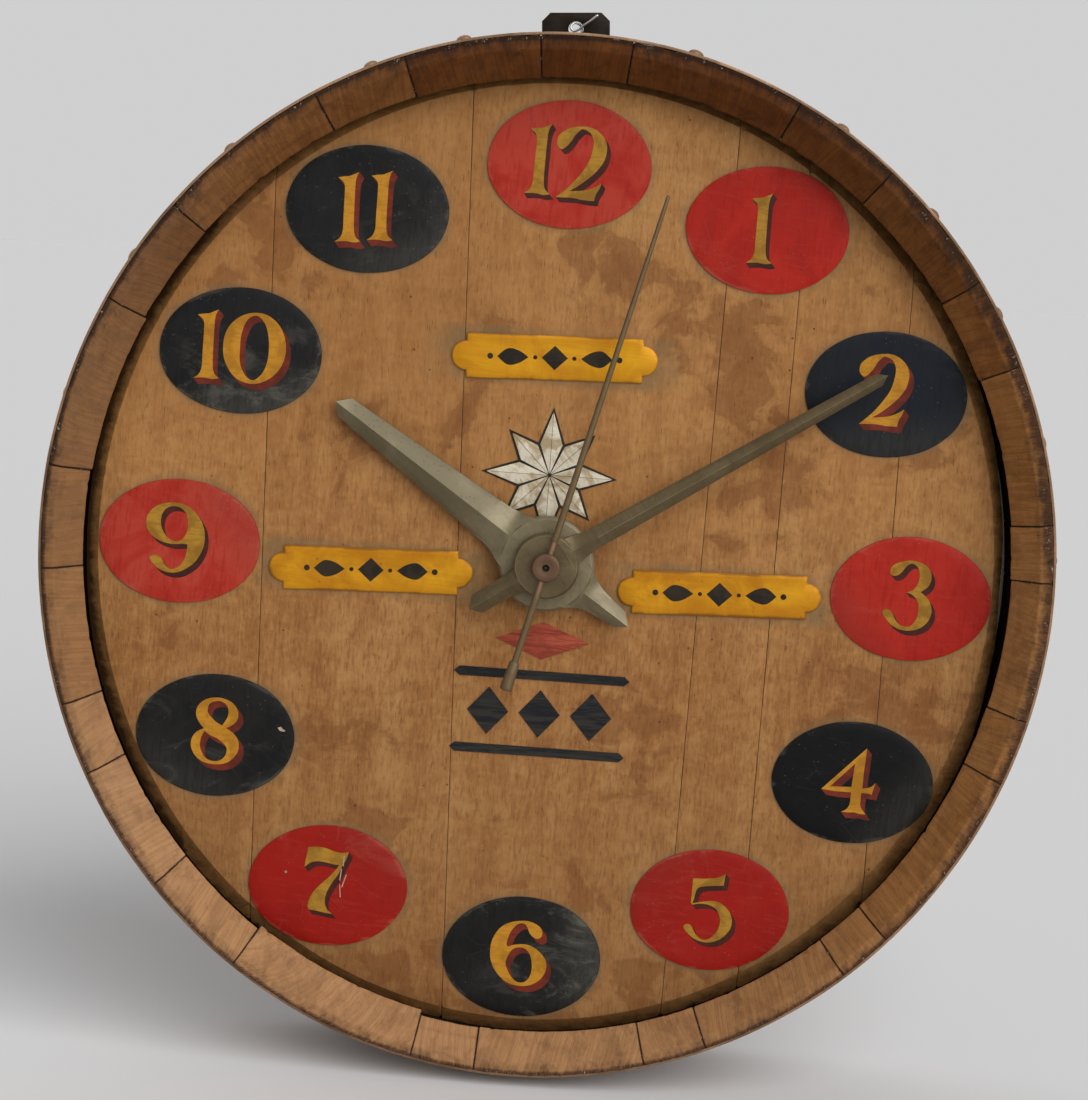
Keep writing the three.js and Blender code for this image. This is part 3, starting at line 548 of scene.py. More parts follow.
def piece(name, points, faces, look, slot, body="clock_body", stands_for=None, stored=None, sharp=35):
    """A mesh from millimetre points. Stored values are one for all points or a list."""
    mesh = bpy.data.meshes.new(name)
    mesh.from_pydata([row(*point) for point in points], [], faces)
    bm = bmesh.new()
    bm.from_mesh(mesh)
    bmesh.ops.recalc_face_normals(bm, faces=bm.faces)
    bm.to_mesh(mesh)
    bm.free()
    for key, values in (stored or {}).items():
        if not isinstance(values, list):
            values = [values] * len(points)
        if isinstance(values[0], tuple):
            layer = mesh.attributes.new(key, "FLOAT_VECTOR", "POINT")
            layer.data.foreach_set("vector", [number for value in values for number in value])
        else:
            layer = mesh.attributes.new(key, "FLOAT", "POINT")
            layer.data.foreach_set("value", values)
    place_piece(name, mesh, look, slot, body, stands_for, sharp)


def softened(node, width, body="clock_body", painted_light_towards=None):
    """Copy of a CAD piece with its sharp edges rounded, which stands for it. Faces turned towards
    the given direction are painted paler: painted light on the side that faces the light."""
    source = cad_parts[node]
    bm = bmesh.new()
    bm.from_mesh(source.data)
    bmesh.ops.remove_doubles(bm, verts=bm.verts, dist=1e-6)
    bmesh.ops.dissolve_limit(bm, angle_limit=math.radians(0.6), verts=bm.verts, edges=bm.edges)
    edges = [e for e in bm.edges if len(e.link_faces) == 2 and e.calc_face_angle(0) > math.radians(25)]
    tint_mark = bm.faces.layers.float.new("tint_mark")
    rounded = bmesh.ops.bevel(bm, geom=edges, offset=width * MM, segments=2, profile=0.6,
                              affect="EDGES", clamp_overlap=True)
    for face in rounded["faces"]:
        face[tint_mark] = 1.0
    # Faces turned towards the given direction are painted paler: painted light.
    if painted_light_towards:
        bm.normal_update()
        for face in bm.faces:
            if face[tint_mark] == 0 and 0.25 < face.normal.dot(painted_light_towards) < 0.95:
                face[tint_mark] = -1.0
    mesh = bpy.data.meshes.new(node + "_soft")
    bm.to_mesh(mesh)
    bm.free()
    place_piece(node + "_soft", mesh, source.data.materials[0], source["record_slot"], body, node, 30)


def joined(parts):
    """Points and faces of several shapes as one."""
    points, faces = [], []
    for more_points, more_faces in parts:
        start = len(points)
        points += more_points
        faces += [tuple(start + i for i in face) for face in more_faces]
    return points, faces


def ring_faces(size, count):
    """Faces of a closed solid over rings of size points, with both ends shut."""
    faces = []
    last = (count - 1) * size
    for start in range(0, last, size):
        for k in range(size):
            a, b = start + k, start + (k + 1) % size
            faces.append((a, b, b + size, a + size))
    return faces + [tuple(range(size)), tuple(reversed(range(last, last + size)))]


def turned(stations, sides, to_point):
    """Closed round solid from (distance, radius) stations; to_point places (distance, radius, angle)."""
    points = [to_point(*station, math.tau * k / sides) for station in stations for k in range(sides)]
    return points, ring_faces(sides, len(stations))


def border(faces):
    """Edges that only one face has, each in that face's direction."""
    sides = {}
    for face in faces:
        for edge in zip(face, face[1:] + face[:1]):
            sides.setdefault(frozenset(edge), []).append(edge)
    return [edges[0] for edges in sides.values() if len(edges) == 1]


def inside(point, loops):
    """Whether a point is inside outlines, by the even-odd rule."""
    x, z = point
    odd = False
    for loop in loops:
        for (ax, az), (bx, bz) in zip(loop, loop[1:] + loop[:1]):
            if (az > z) != (bz > z) and x < ax + (z - az) * (bx - ax) / (bz - az):
                odd = not odd
    return odd


def filled(loops, inner=()):
    """Flat points and triangles that fill outlines; inner points are worked in."""
    points = []
    edges = []
    for loop in loops:
        start = len(points)
        points += [Vector(p) for p in loop]
        edges += [(start + i, start + (i + 1) % len(loop)) for i in range(len(loop))]
    points += [Vector(p) for p in inner]
    flat, _, faces, *_ = delaunay_2d_cdt(points, edges, [], 0, 1e-5)
    kept = []
    for face in faces:
        middle = sum((flat[i] for i in face), Vector((0, 0))) / len(face)
        if inside(middle, loops):
            kept.append(tuple(face))
    return flat, kept


def swept(flat, faces, move):
    """Flat area that a filled shape covers while it moves by a vector."""
    points = list(flat)
    areas = list(faces)
    for a, b in border(faces):
        start = len(points)
        points += [flat[a], flat[b], flat[b] + move, flat[a] + move]
        quad = (start, start + 1, start + 2, start + 3)
        across = (flat[b] - flat[a]).cross(move)
        if abs(across) > 1e-6:
            areas.append(quad if across > 0 else quad[::-1])
    out, _, found, _, _, origins = delaunay_2d_cdt(points, [], areas, 0, 1e-5)
    return out, [tuple(face) for face, origin in zip(found, origins) if origin]


def slab(flat, faces, front, back):
    """Closed thin solid over flat triangles; front and back are depths, or functions of x and z."""
    used = sorted({i for face in faces for i in face})
    order = {old: new for new, old in enumerate(used)}
    count = len(used)
    points = []
    for depth in (front, back):
        points += [(x, depth(x, z) if callable(depth) else depth, z) for x, z in (flat[i] for i in used)]
    fronts = [tuple(order[i] for i in face) for face in faces]
    solid = []
    for face in fronts:
        solid += [face, tuple(i + count for i in reversed(face))]
    return points, solid + [(b, a, a + count, b + count) for a, b in border(fronts)]


def spline_weights(t):
    """Shares of four points in a smooth curve from the second to the third."""
    return (
        (-t ** 3 + 2 * t ** 2 - t) / 2, (3 * t ** 3 - 5 * t ** 2 + 2) / 2,
        (-3 * t ** 3 + 4 * t ** 2 + t) / 2, (t ** 3 - t ** 2) / 2,
    )


def curve_through(points, steps=6):
    """Closed smooth outline through points; it turns sharply at those marked as corners."""
    outline = []
    count = len(points)
    for i, here in enumerate(points):
        there = points[(i + 1) % count]
        before = here if here[2] else points[i - 1]
        after = there if there[2] else points[(i + 2) % count]
        for k in range(steps):
            a, b, c, d = spline_weights(k / steps)
            outline.append(tuple(a * before[j] + b * here[j] + c * there[j] + d * after[j] for j in (0, 1)))
    return outline


def clock_vectors(degrees):
    """Directions along and across a line that points clockwise degrees from the top."""
    turn = math.radians(degrees)
    return Vector((math.sin(turn), 0, math.cos(turn))), Vector((math.cos(turn), 0, -math.sin(turn)))


def on_barrel(radius, depth, angle):
    """Point of the oval barrel at an angle clockwise from the top, in radians."""
    return WIDTH_SHARE * radius * math.sin(angle), depth, radius * math.cos(angle)


# Staves

def outer_radius(y):
    return CHIME_RADIUS + REAR_FLARE * y / STAVE_LENGTH


def inner_radius(y):
    return DIAL_HALF_HEIGHT + REAR_FLARE * (y - BEVEL_DEPTH) / (STAVE_LENGTH - BEVEL_DEPTH)


HEAD_RADIUS = inner_radius(HEAD_EDGE_BACK) + GROOVE_DEPTH


def rear_bevel(radius):
    return HEAD_EDGE_BACK + (HEAD_BACK - HEAD_EDGE_BACK) * (HEAD_RADIUS - radius) / HEAD_BEVEL_WIDTH


def rounded_section(corners, step):
    """Closed section with rounded corners, given as (radius, depth, rounding). Step says how far
    apart the points between two places are."""
    section = []
    count = len(corners)
    for i in range(count):
        here = Vector(corners[i][:2])
        before = Vector(corners[i - 1][:2])
        after = Vector(corners[(i + 1) % count][:2])
        rounding = corners[i][2]
        start = here + (before - here).normalized() * rounding
        end = here + (after - here).normalized() * rounding
        for k in range(4):
            t = k / 3
            section.append(start * (1 - t) ** 2 + here * 2 * t * (1 - t) + end * t ** 2)
        target = after + (here - after).normalized() * corners[(i + 1) % count][2]
        pieces = max(1, round((target - end).length / step(end, target)))
        section += [end + (target - end) * k / pieces for k in range(1, pieces)]
    return section


mouth = inner_radius(HEAD_FACE)
groove = HEAD_RADIUS + FIT_GAP
STAVE_SECTION = rounded_section(
    [
        (CHIME_RADIUS - CHIME_FLAT, 0, 0.9),
        (DIAL_HALF_HEIGHT, BEVEL_DEPTH, 0.7),
        (groove, BEVEL_DEPTH + 11, 1.5),
        (groove, HEAD_EDGE_BACK + FIT_GAP, 0.3),
        (mouth, rear_bevel(mouth) + FIT_GAP, 0.3),
        (inner_radius(STAVE_LENGTH), STAVE_LENGTH, 0.6),
        (outer_radius(STAVE_LENGTH), STAVE_LENGTH, 0.8),
        (CHIME_RADIUS, 0, 1.4),
    ],
    lambda a, b: 1.6 if max(a.y, b.y) < BEVEL_DEPTH + 2 else 7,
)
SECTION_NORMALS = []
for before, after in zip(STAVE_SECTION[-1:] + STAVE_SECTION, STAVE_SECTION[1:] + STAVE_SECTION[:1]):
    SECTION_NORMALS.append(Vector(((before - after).y, (after - before).x)).normalized())

# Tone of each stave, from dark orange-brown (0) to light tan (1), clockwise from the top. The
# tones are partly the wood's own colour and partly painted light and shade: darkest at the top,
# lightest at the bottom
STAVE_TONES = [
    0.0, 0.02, 0.06, 0.15, 0.32, 0.54, 0.66, 0.68, 0.62, 0.6, 0.66, 0.7, 0.78, 0.85, 0.88, 0.88,
    0.88, 0.9, 0.74, 0.48, 0.36, 0.25, 0.13, 0.25, 0.2, 0.04,
]
# Dirt on the outer edge of each stave
STAVE_DIRT = [
    0.4, 0.5, 0.75, 0.85, 0.95, 0.95, 0.95, 0.85, 0.75, 0.5, 0.42, 0.36, 0.36, 0.34, 0.34, 0.36, 0.42,
    0.42, 0.4, 0.36, 0.34, 0.34, 0.36, 0.42, 0.5, 0.45,
]
# Turn of the growth rings of each stave's end grain from the radius, in degrees
RING_TILTS = [
    6, -10, 14, -8, 12, 4, -6, 10, -12, 7, -5, 16, -14, 22, -9, 34, -12, 9, -20, 12, -7, 10,
    -16, 6, 12, -9,
]
# Staves whose inner edge stands clearly in or out of the ring, in millimetres
STAVE_STEPS = {15: 0.9, 16: -2.6, 5: -0.9, 22: -0.8, 24: 0.7}
JOINT_ROUNDING = 1.1
COLUMN_WIDTH = 2.6
SIDE_SHADE = 0.7
# Grime value of the dark packing in the joints; the inner wall behind the bevel takes it too, as painted
# shade in the groove with grime.
PACKED_DIRT_AND_SHADE = 1.9

# Where one stave ends and the next begins, filled in as the staves are made
SEAM_ANGLES = []
SEAM_GAP = 0.3
SEAM_HALF_WIDTH = 0.55
SEAM_INSET = 2.0


def stave_dirt_and_shade(radius, y, most):
    """Grime and painted shade at a place of a stave's section; most is the grime on its outer
    edge.
    """
    if y < BEVEL_DEPTH:
        dirt_and_shade = soft_step(CHIME_RADIUS - 12, CHIME_RADIUS - 1, radius) * most
        # The outermost edge is painted dark: partly grime, partly painted shade.
        return max(dirt_and_shade, 0.9) if radius > CHIME_RADIUS - 1.5 else dirt_and_shade
    # The inner wall behind the bevel is painted nearly black: painted shade in the groove, partly grime.
    if radius < CHIME_RADIUS - 2 and y < 60:
        return PACKED_DIRT_AND_SHADE * soft_step(BEVEL_DEPTH, BEVEL_DEPTH + 3, y)
    return 0.3 if y >= STAVE_LENGTH - 1 else 0.62


def make_stave(number):
    """One stave, with rounded joint edges, end grain and a rubbed, dirty outer edge; its inner
    wall and outermost edge line are painted dark, as painted shade together with grime.
    """
    name = f"stave_{number:02d}"
    pick = random.Random(number)
    angles = []
    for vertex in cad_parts[name].data.vertices:
        x = (vertex.co.x - ARBOR.x) / MM / WIDTH_SHARE
        z = (vertex.co.z - ARBOR.z) / MM
        angles.append(math.atan2(x, z))
    middle = math.atan2(sum(map(math.sin, angles)), sum(map(math.cos, angles)))
    offsets = [math.remainder(angle - middle, math.tau) for angle in angles]
    low, high = min(offsets), max(offsets)
    SEAM_ANGLES.append(middle + high)
    width = (high - low) * CHIME_RADIUS
    columns = max(8, round(width / COLUMN_WIDTH))
    edge_steps = [0, 0.25, 0.6, JOINT_ROUNDING]
    between_edges = width - 2 * JOINT_ROUNDING
    across = edge_steps + [JOINT_ROUNDING + between_edges * k / columns for k in range(1, columns)]
    across += [width - step for step in reversed(edge_steps)]
    depth_shift = pick.uniform(-0.4, 0.4)
    inner_shift = STAVE_STEPS.get(number, pick.uniform(-0.5, 0.4))
    tilt = math.radians(RING_TILTS[number - 1])
    tree = Vector((math.cos(tilt), -math.sin(tilt))) * pick.uniform(90, 190) * pick.choice((-1, 1))
    points, grain, wear_and_shade = [], [], []
    for place in across:
        angle = middle + low + place / CHIME_RADIUS
        tangent = place - width / 2
        from_side = min(place, width - place)
        pillow = 0.4 * max(0, 1 - from_side / JOINT_ROUNDING) ** 2
        for (radius, y), normal in zip(STAVE_SECTION, SECTION_NORMALS):
            front = 1 - soft_step(16, 27, y)
            rough = grain_noise(radius * 0.22, angle * 40, y * 0.12 + number) * 0.22
            outer = soft_step(CHIME_RADIUS - 6, CHIME_RADIUS - 1, radius) * front
            rough += outer * grain_noise(angle * 160, y * 0.4, radius * 0.4) * 0.5
            chip = 0.0
            if abs(radius - DIAL_HALF_HEIGHT) < 1.6 and abs(y - BEVEL_DEPTH) < 2:
                chip = 1.6 * max(0, grain_noise(angle * 55, 3.7) - 0.38)
            lift = (rough - chip) * front - pillow
            r = radius + normal.x * lift
            if radius < DIAL_HALF_HEIGHT + 6:
                r += inner_shift * front
            points.append(on_barrel(r, y + normal.y * lift + depth_shift * front, angle))
            spot = Vector((tangent, radius - CHIME_RADIUS + 12)) - tree
            on_front = y < BEVEL_DEPTH + 0.2 and radius < CHIME_RADIUS - 0.4
            on_end = 1.0 if on_front or y > STAVE_LENGTH - 1 else 0.0
            along = 0.0 if on_end else y
            side_dirt = 1.6 * max(0, 1 - from_side / SIDE_SHADE)
            ray = math.atan2(*spot) * 120
            grain.append((spot.length + number * 37, ray + number * 11, along + number * 53))
            tone = STAVE_TONES[number - 1] + 0.05 * grain_noise(tangent * 0.05, radius * 0.1, number)
            wear_and_shade.append((on_end, max(stave_dirt_and_shade(radius, y, STAVE_DIRT[number - 1]), side_dirt), tone))
    faces = ring_faces(len(STAVE_SECTION), len(across))
    piece(name + "_wood", points, faces, STAVE, "oak", stands_for=name,
          stored={"grain": grain, "wear_and_shade": wear_and_shade}, sharp=40)


for stave_number in range(1, 27):
    make_stave(stave_number)


def make_seams():
    """Dark packing in the joints between the staves, let into both of them."""
    outline = [spot - normal * SEAM_INSET for spot, normal in zip(STAVE_SECTION, SECTION_NORMALS)]
    parts = []
    for seam in SEAM_ANGLES:
        points = []
        for side in (-SEAM_HALF_WIDTH, SEAM_HALF_WIDTH):
            points += [on_barrel(r, y, seam + (SEAM_GAP / 2 + side) / r) for r, y in outline]
        parts.append((points, ring_faces(len(outline), 2)))
    stored = {"grain": (0, 0, 0), "wear_and_shade": (0, PACKED_DIRT_AND_SHADE, 0)}
    piece("stave_seams", *joined(parts), STAVE, "oak", stored=stored)


make_seams()


# Head boards

BOARDS = 6
OVALS = [f"hour_oval_{hour:02d}" for hour in range(1, 13)]
PLAQUES = ["plaque_top", "plaque_left", "plaque_right"]
# Places of the joints between boards at the top and the bottom, in half heights of the dial
BOARD_JOINTS = [
    (-0.643, -0.598), (-0.227, -0.162), (0.349, 0.324), (0.505, 0.488), (0.743, 0.751),
]
# Stains of the head, with a broad painted shade along its bottom as the last entry: place of the
# middle, half width, half height, lean in degrees, strength
STAINS_AND_BOTTOM_SHADE = [
    (34, 172, 34, 20, 15, 0.55), (62, 148, 16, 34, -20, 0.6), (8, 186, 22, 9, 0, 0.5),
    (106, 118, 20, 42, -14, 0.7), (128, 60, 26, 34, 20, 0.6), (150, 112, 18, 26, 10, 0.45),
    (-48, 92, 7, 26, 22, 0.85), (-34, 128, 14, 10, 0, 0.5), (-160, 176, 34, 24, 30, 0.6),
    (-196, 118, 12, 40, 0, 0.45), (212, 92, 20, 44, 0, 0.5), (206, -68, 34, 18, 20, 0.8),
    (168, -92, 20, 26, -10, 0.5), (40, -88, 34, 20, 0, 0.5), (66, -132, 22, 34, 10, 0.45),
    (-118, -110, 40, 22, 0, 0.45), (-92, -170, 30, 18, 12, 0.5), (28, -196, 34, 16, 0, 0.4),
    (-20, -150, 20, 12, 0, 0.35), (-120, 60, 30, 30, 0, 0.35), (190, 200, 30, 18, -40, 0.6),
    (-216, -40, 12, 40, 0, 0.35), (120, 20, 40, 12, 0, 0.35), (140, -196, 26, 16, 30, 0.4),
    (-10, -262, 190, 46, 0, 0.5),
]
# How far the head has drawn out of the groove: clockwise degrees from the top, millimetres
EDGE_GAPS = [
    (0, 2.0), (45, 4.0), (66, 5.2), (80, 7.4), (90, 8.6), (98, 6.4), (111, 2.6), (135, 0.6), (180, 0.0),
    (225, 0.9), (245, 2.2), (270, 4.2), (300, 3.4), (330, 2.4), (360, 2.0),
]
FLAT_RADIUS = 272.5
CREASE_DROP = 6
GRID_STEP = 2.5
GRID_REACH = 112
SIDE_REACH = 115
EDGE_POINTS = 720
CREASE_POINTS = 360
ANY_RADIUS = 200
# How far the grid's points stay from the joints, the crease and the edge
JOINT_CLEARANCE = 1.6
CREASE_CLEARANCE = 0.9
EDGE_CLEARANCE = 1.2


def stain_and_shade_at(x, z):
    """How strongly a place of the head is marked by stains and by the painted shade along its
    bottom, from 0 to about 1.
    """
    most = 0.0
    for across, up, half_width, half_height, lean, strength in STAINS_AND_BOTTOM_SHADE:
        turn = math.radians(lean)
        dx, dz = x - across, z - up
        u = (dx * math.cos(turn) - dz * math.sin(turn)) / half_width
        v = (dx * math.sin(turn) + dz * math.cos(turn)) / half_height
        most = max(most, strength * math.exp(-(u * u + v * v) * 0.8))
    return most


def ring_radius(x, z):
    return math.hypot(x / WIDTH_SHARE, z)


def head_flat(x, z):
    """Ring radius where the flat of the head ends; the boards have shrunk across their grain."""
    side = x / WIDTH_SHARE / max(1, ring_radius(x, z))
    return FLAT_RADIUS - (5.5 if x > 0 else 3.7) * side * side


def head_edge(x, z):
    degrees = math.degrees(math.atan2(x / WIDTH_SHARE, z)) % 360
    for (start, start_gap), (end, end_gap) in zip(EDGE_GAPS, EDGE_GAPS[1:]):
        if start <= degrees <= end:
            return HEAD_RADIUS - start_gap - (end_gap - start_gap) * soft_step(start, end, degrees)


def slope_share(x, z):
    """How far down the bevel of the head a place is: 0 at the crease, 1 at the edge."""
    return (ring_radius(x, z) - head_flat(x, z)) / (head_edge(x, z) - head_flat(x, z))


def head_ring(radius_at, count, shift):
    """Places all round the head where a ring radius is reached."""
    for k in range(count):
        x, _, z = on_barrel(1, 0, math.tau * (k + shift) / count)
        radius = radius_at(x * ANY_RADIUS, z * ANY_RADIUS)
        yield x * radius, z * radius


def joint_x(number, z):
    """Place of a joint between boards at a height."""
    top, bottom = BOARD_JOINTS[number]
    share = (z / DIAL_HALF_HEIGHT + 1) / 2
    return DIAL_HALF_HEIGHT * WIDTH_SHARE * (bottom + (top - bottom) * share)


def plate_distance(x, z, plates):
    """Distance to the edge of the nearest oval or plaque, in millimetres."""
    least = 99.0
    for across, up, half_width, half_height, power in plates:
        u, v = abs((x - across) / half_width), abs((z - up) / half_height)
        least = min(least, ((u ** power + v ** power) ** (1 / power) - 1) * min(half_width, half_height))
    return least


def make_board(number, plates):
    """One board: a flat with rounded joint edges, a bevel into the groove, and stains with the painted
    shade along the bottom.
    """
    def left(z):
        return joint_x(number - 1, z) + FIT_GAP / 2 if number > 0 else -999.0

    def right(z):
        return joint_x(number, z) - FIT_GAP / 2 if number < BOARDS - 1 else 999.0

    def from_joint(x, z):
        return min(x - left(z), right(z) - x)

    def clear(x, z):
        from_crease = abs(ring_radius(x, z) - head_flat(x, z))
        return from_crease > CREASE_CLEARANCE and ring_radius(x, z) < head_edge(x, z) - EDGE_CLEARANCE

    outline = [(x, z) for x, z in head_ring(head_edge, EDGE_POINTS, 0) if left(z) < x < right(z)]
    for side in (left, right):
        ends = [(side(k * GRID_STEP), k * GRID_STEP) for k in range(-SIDE_REACH, SIDE_REACH + 1)]
        outline += [(x, z) for x, z in ends if ring_radius(x, z) < head_edge(x, z)]
    middle = Vector([sum(values) / len(outline) for values in zip(*outline)])
    outline.sort(key=lambda p: math.atan2(p[1] - middle.y, p[0] - middle.x))
    inner = []
    grid = [k * GRID_STEP for k in range(-GRID_REACH, GRID_REACH + 1)]
    for z in grid:
        places = [x for x in grid if from_joint(x, z) > JOINT_CLEARANCE]
        places += [left(z) + 0.35, left(z) + 0.9, right(z) - 0.35, right(z) - 0.9]
        inner += [(x, z) for x in places if clear(x, z)]
    edges = [(i, (i + 1) % len(outline)) for i in range(len(outline))]
    on_crease = False
    for x, z in head_ring(head_flat, CREASE_POINTS, 0.25):
        reached = from_joint(x, z) > 0.4
        if reached:
            inner.append((x, z))
            here = len(outline) + len(inner) - 1
            if on_crease:
                edges.append((here - 1, here))
        on_crease = reached
    flat, _, faces, *_ = delaunay_2d_cdt([Vector(p) for p in outline + inner], edges, [], 1, 1e-5)
    whole = 0 < number < BOARDS - 1
    board_width = max(1.0, right(0) - left(0)) if whole else 110.0
    board_middle = (left(0) + right(0)) / 2 if whole else middle.x

    def front(x, z):
        bend = ((x - board_middle) / board_width * 2) ** 2
        out = clamp(slope_share(x, z))
        rounding = 0.12 * max(0, 1 - from_joint(x, z) / 0.9) ** 2
        ripple = 0.05 * grain_noise(x * 0.3, z * 0.012, number)
        return HEAD_FACE + 0.22 * bend * (1 - out) + CREASE_DROP * out + rounding + ripple

    def back(x, z):
        return HEAD_BACK - (HEAD_BACK - HEAD_EDGE_BACK) * clamp((ring_radius(x, z) - 266) / HEAD_BEVEL_WIDTH)

    points, solid = slab(flat, faces, front, back)
    fronts = points[:len(points) // 2]
    marks = []
    for x, _, z in fronts:
        dust = clamp(1.2 - plate_distance(x, z, plates) / 3.2)
        out = slope_share(x, z)
        # Darker down the bevel towards the groove, most on the far left.
        edge = 0.0 if out < -0.02 else clamp(0.3 + out * (0.75 if x < -200 else 0.3))
        faint = 0.25 + 0.35 * clamp(0.5 + 1.6 * grain_noise(x * 0.01, z * 0.02, 9))
        marks.append((stain_and_shade_at(x, z), dust, max(edge, faint * clamp(1 - from_joint(x, z) / 0.4))))
    marks += [(0.0, 0.0, 0.0)] * len(fronts)
    stored = {"piece": float(number + 1), "mark": marks}
    piece(f"head_board_wood_{number + 1}", points, solid, HEAD, "head_oak",
          stands_for=f"head_board_{number + 1}", stored=stored, sharp=24)


dial_plates = []
for plate in OVALS + PLAQUES:
    plate_middle, plate_half = node_box(plate)
    trim, power = (0, 2) if plate in OVALS else (1, 8)
    dial_plates.append((plate_middle[0], plate_middle[2], plate_half[0], plate_half[2] - trim, power))
for board_number in range(BOARDS):
    make_board(board_number, dial_plates)


# Hoop and its nails

HOOP_FRONT = 3
HOOP_BACK = HOOP_FRONT + 38
HOOP_THICKNESS = 1.6
HOOP_OUTSIDE = FIT_GAP + HOOP_THICKNESS
HOOP_TURNS = 360
# Places of the nails, as shares of a turn clockwise from the top
NAIL_TURNS = [
    0.035, 0.086, 0.124, 0.16, 0.202, 0.238, 0.271, 0.31, 0.35, 0.39, 0.43, 0.47,
    0.51, 0.55, 0.59, 0.63, 0.67, 0.711, 0.752, 0.792, 0.839, 0.883, 0.933, 0.963,
]
# Distance out of the hoop and radius of a nail head
NAIL_RINGS = [(-0.6, 4.3), (0.35, 4.5), (0.8, 4.25), (1.4, 3.6), (1.9, 2.6), (2.25, 1.4), (2.35, 0.4)]


def hoop_band():
    """The hammered band, with dents and waves."""
    section = rounded_section(
        [
            (FIT_GAP, HOOP_FRONT, 0.2), (FIT_GAP, HOOP_BACK, 0.2),
            (HOOP_OUTSIDE, HOOP_BACK, 0.45), (HOOP_OUTSIDE, HOOP_FRONT, 0.45),
        ],
        lambda a, b: 4,
    )
    points = []
    for k in range(HOOP_TURNS):
        angle = math.tau * k / HOOP_TURNS
        x, z = math.sin(angle), math.cos(angle)
        wave = 0.3 * grain_noise(x * 4, z * 4, 5)
        for offset, y in section:
            dent = 0.22 * grain_noise(x * 9, z * 9, y * 0.05) * (1 if offset > 1 else 0.2)
            points.append(on_barrel(outer_radius(y) + offset + max(0, dent) * 0.8, y + wave, angle))
    open_faces = ring_faces(len(section), HOOP_TURNS + 1)[:-2]
    return points, [tuple(i % len(points) for i in face) for face in open_faces]


def nail_head(turn, pick):
    """A slightly crooked nail head on the hoop, at a share of a turn from the top."""
    middle = (HOOP_FRONT + HOOP_BACK) / 2
    x, _, z = on_barrel(1, 0, math.tau * turn)
    foot = Vector((x, 0, z)) * (outer_radius(middle) + HOOP_OUTSIDE)
    foot.y = middle + pick.uniform(-0.8, 0.8)
    out = Vector((x / WIDTH_SHARE ** 2, 0, z)).normalized()
    side = Vector((out.z, 0, -out.x))
    tip = pick.uniform(-0.06, 0.06)
    size = pick.uniform(0.92, 1.05)

    def on_hoop(distance, radius, around):
        wobble = 1 + 0.05 * math.sin(3 * around + turn * 50)
        spot = side * math.cos(around) + Vector((0, 1, 0)) * math.sin(around)
        return tuple(foot + out * (distance + tip * radius * math.cos(around)) + spot * radius * wobble)

    return turned([(distance, radius * size) for distance, radius in NAIL_RINGS], 20, on_hoop)


nail_pick = random.Random(3)
hoop_parts = [hoop_band()] + [nail_head(nail_turn, nail_pick) for nail_turn in NAIL_TURNS]
piece("nailed_hoop_copper", *joined(hoop_parts), COPPER, "copper", stands_for="nailed_hoop", sharp=50)


# Ovals

OVAL_HALF_WIDTH = 0.339 * DIAL_HALF_HEIGHT / 2
OVAL_HALF_HEIGHT = 0.2625 * DIAL_HALF_HEIGHT / 2
OVAL_THICKNESS = 1.2
OVAL_FACE = HEAD_FACE - OVAL_THICKNESS
ROLL_START = 0.84
ROLL_DROP = 0.55
RED_HOURS = (1, 3, 5, 7, 9, 12)
# Fading, painted light and scuffs of each oval: fading, strength of its side painted as sheen
# (lighter, on navy) and as shade (darker, on red), where that side is in clockwise degrees from
# the top, and scuffs
OVAL_WEAR_AND_PAINTED_LIGHT = {
    1: (0.1, 0.2, 250, 0.2), 2: (0.9, 0.4, 170, 0.1), 3: (0.2, 0.5, 240, 0.2), 4: (-0.9, 0.6, 120, 0.15),
    5: (-0.6, 0.4, 300, 0.35), 6: (0.0, 0.8, 90, 1.8), 7: (-0.6, 0.35, 60, 0.4), 8: (0.0, 0.5, 215, 0.8),
    9: (0.9, 0.35, 60, 0.4), 10: (0.1, 0.9, 160, 1.3), 11: (0.1, 0.7, 145, 0.4), 12: (0.7, 0.2, 330, 0.4),
}
# Rings of points inside an oval: share of its size, number of points
OVAL_RINGS = [
    (0.975, 120), (0.94, 110), (0.89, 100), (0.84, 90), (0.76, 60), (0.6, 40), (0.4, 26), (0.2, 12),
]
VIEW_ROLL = math.radians(4.06)
VIEW_UNITS_PER_MM = 1.745


def paints(hour):
    """Enamel, numeral, shade and slot of an oval."""
    if hour in RED_HOURS:
        return RED, GOLD_ON_RED, SHADE_ON_RED, "red_paint"
    return NAVY, GOLD, SHADE_ON_NAVY, "navy_paint"


def oval_centre(hour):
    (across, _, up), _ = node_box(OVALS[hour - 1])
    return Vector((across, up))


def upright(right, down):
    """Turns an offset drawn in the rolled view into an offset on the dial."""
    c, s = math.cos(VIEW_ROLL), math.sin(VIEW_ROLL)
    return Vector((right * c + down * s, right * s - down * c))


def in_view(hour, right, down):
    """Place on the dial, from view units right and down of an oval's centre."""
    return oval_centre(hour) + upright(right / VIEW_UNITS_PER_MM, down / VIEW_UNITS_PER_MM)


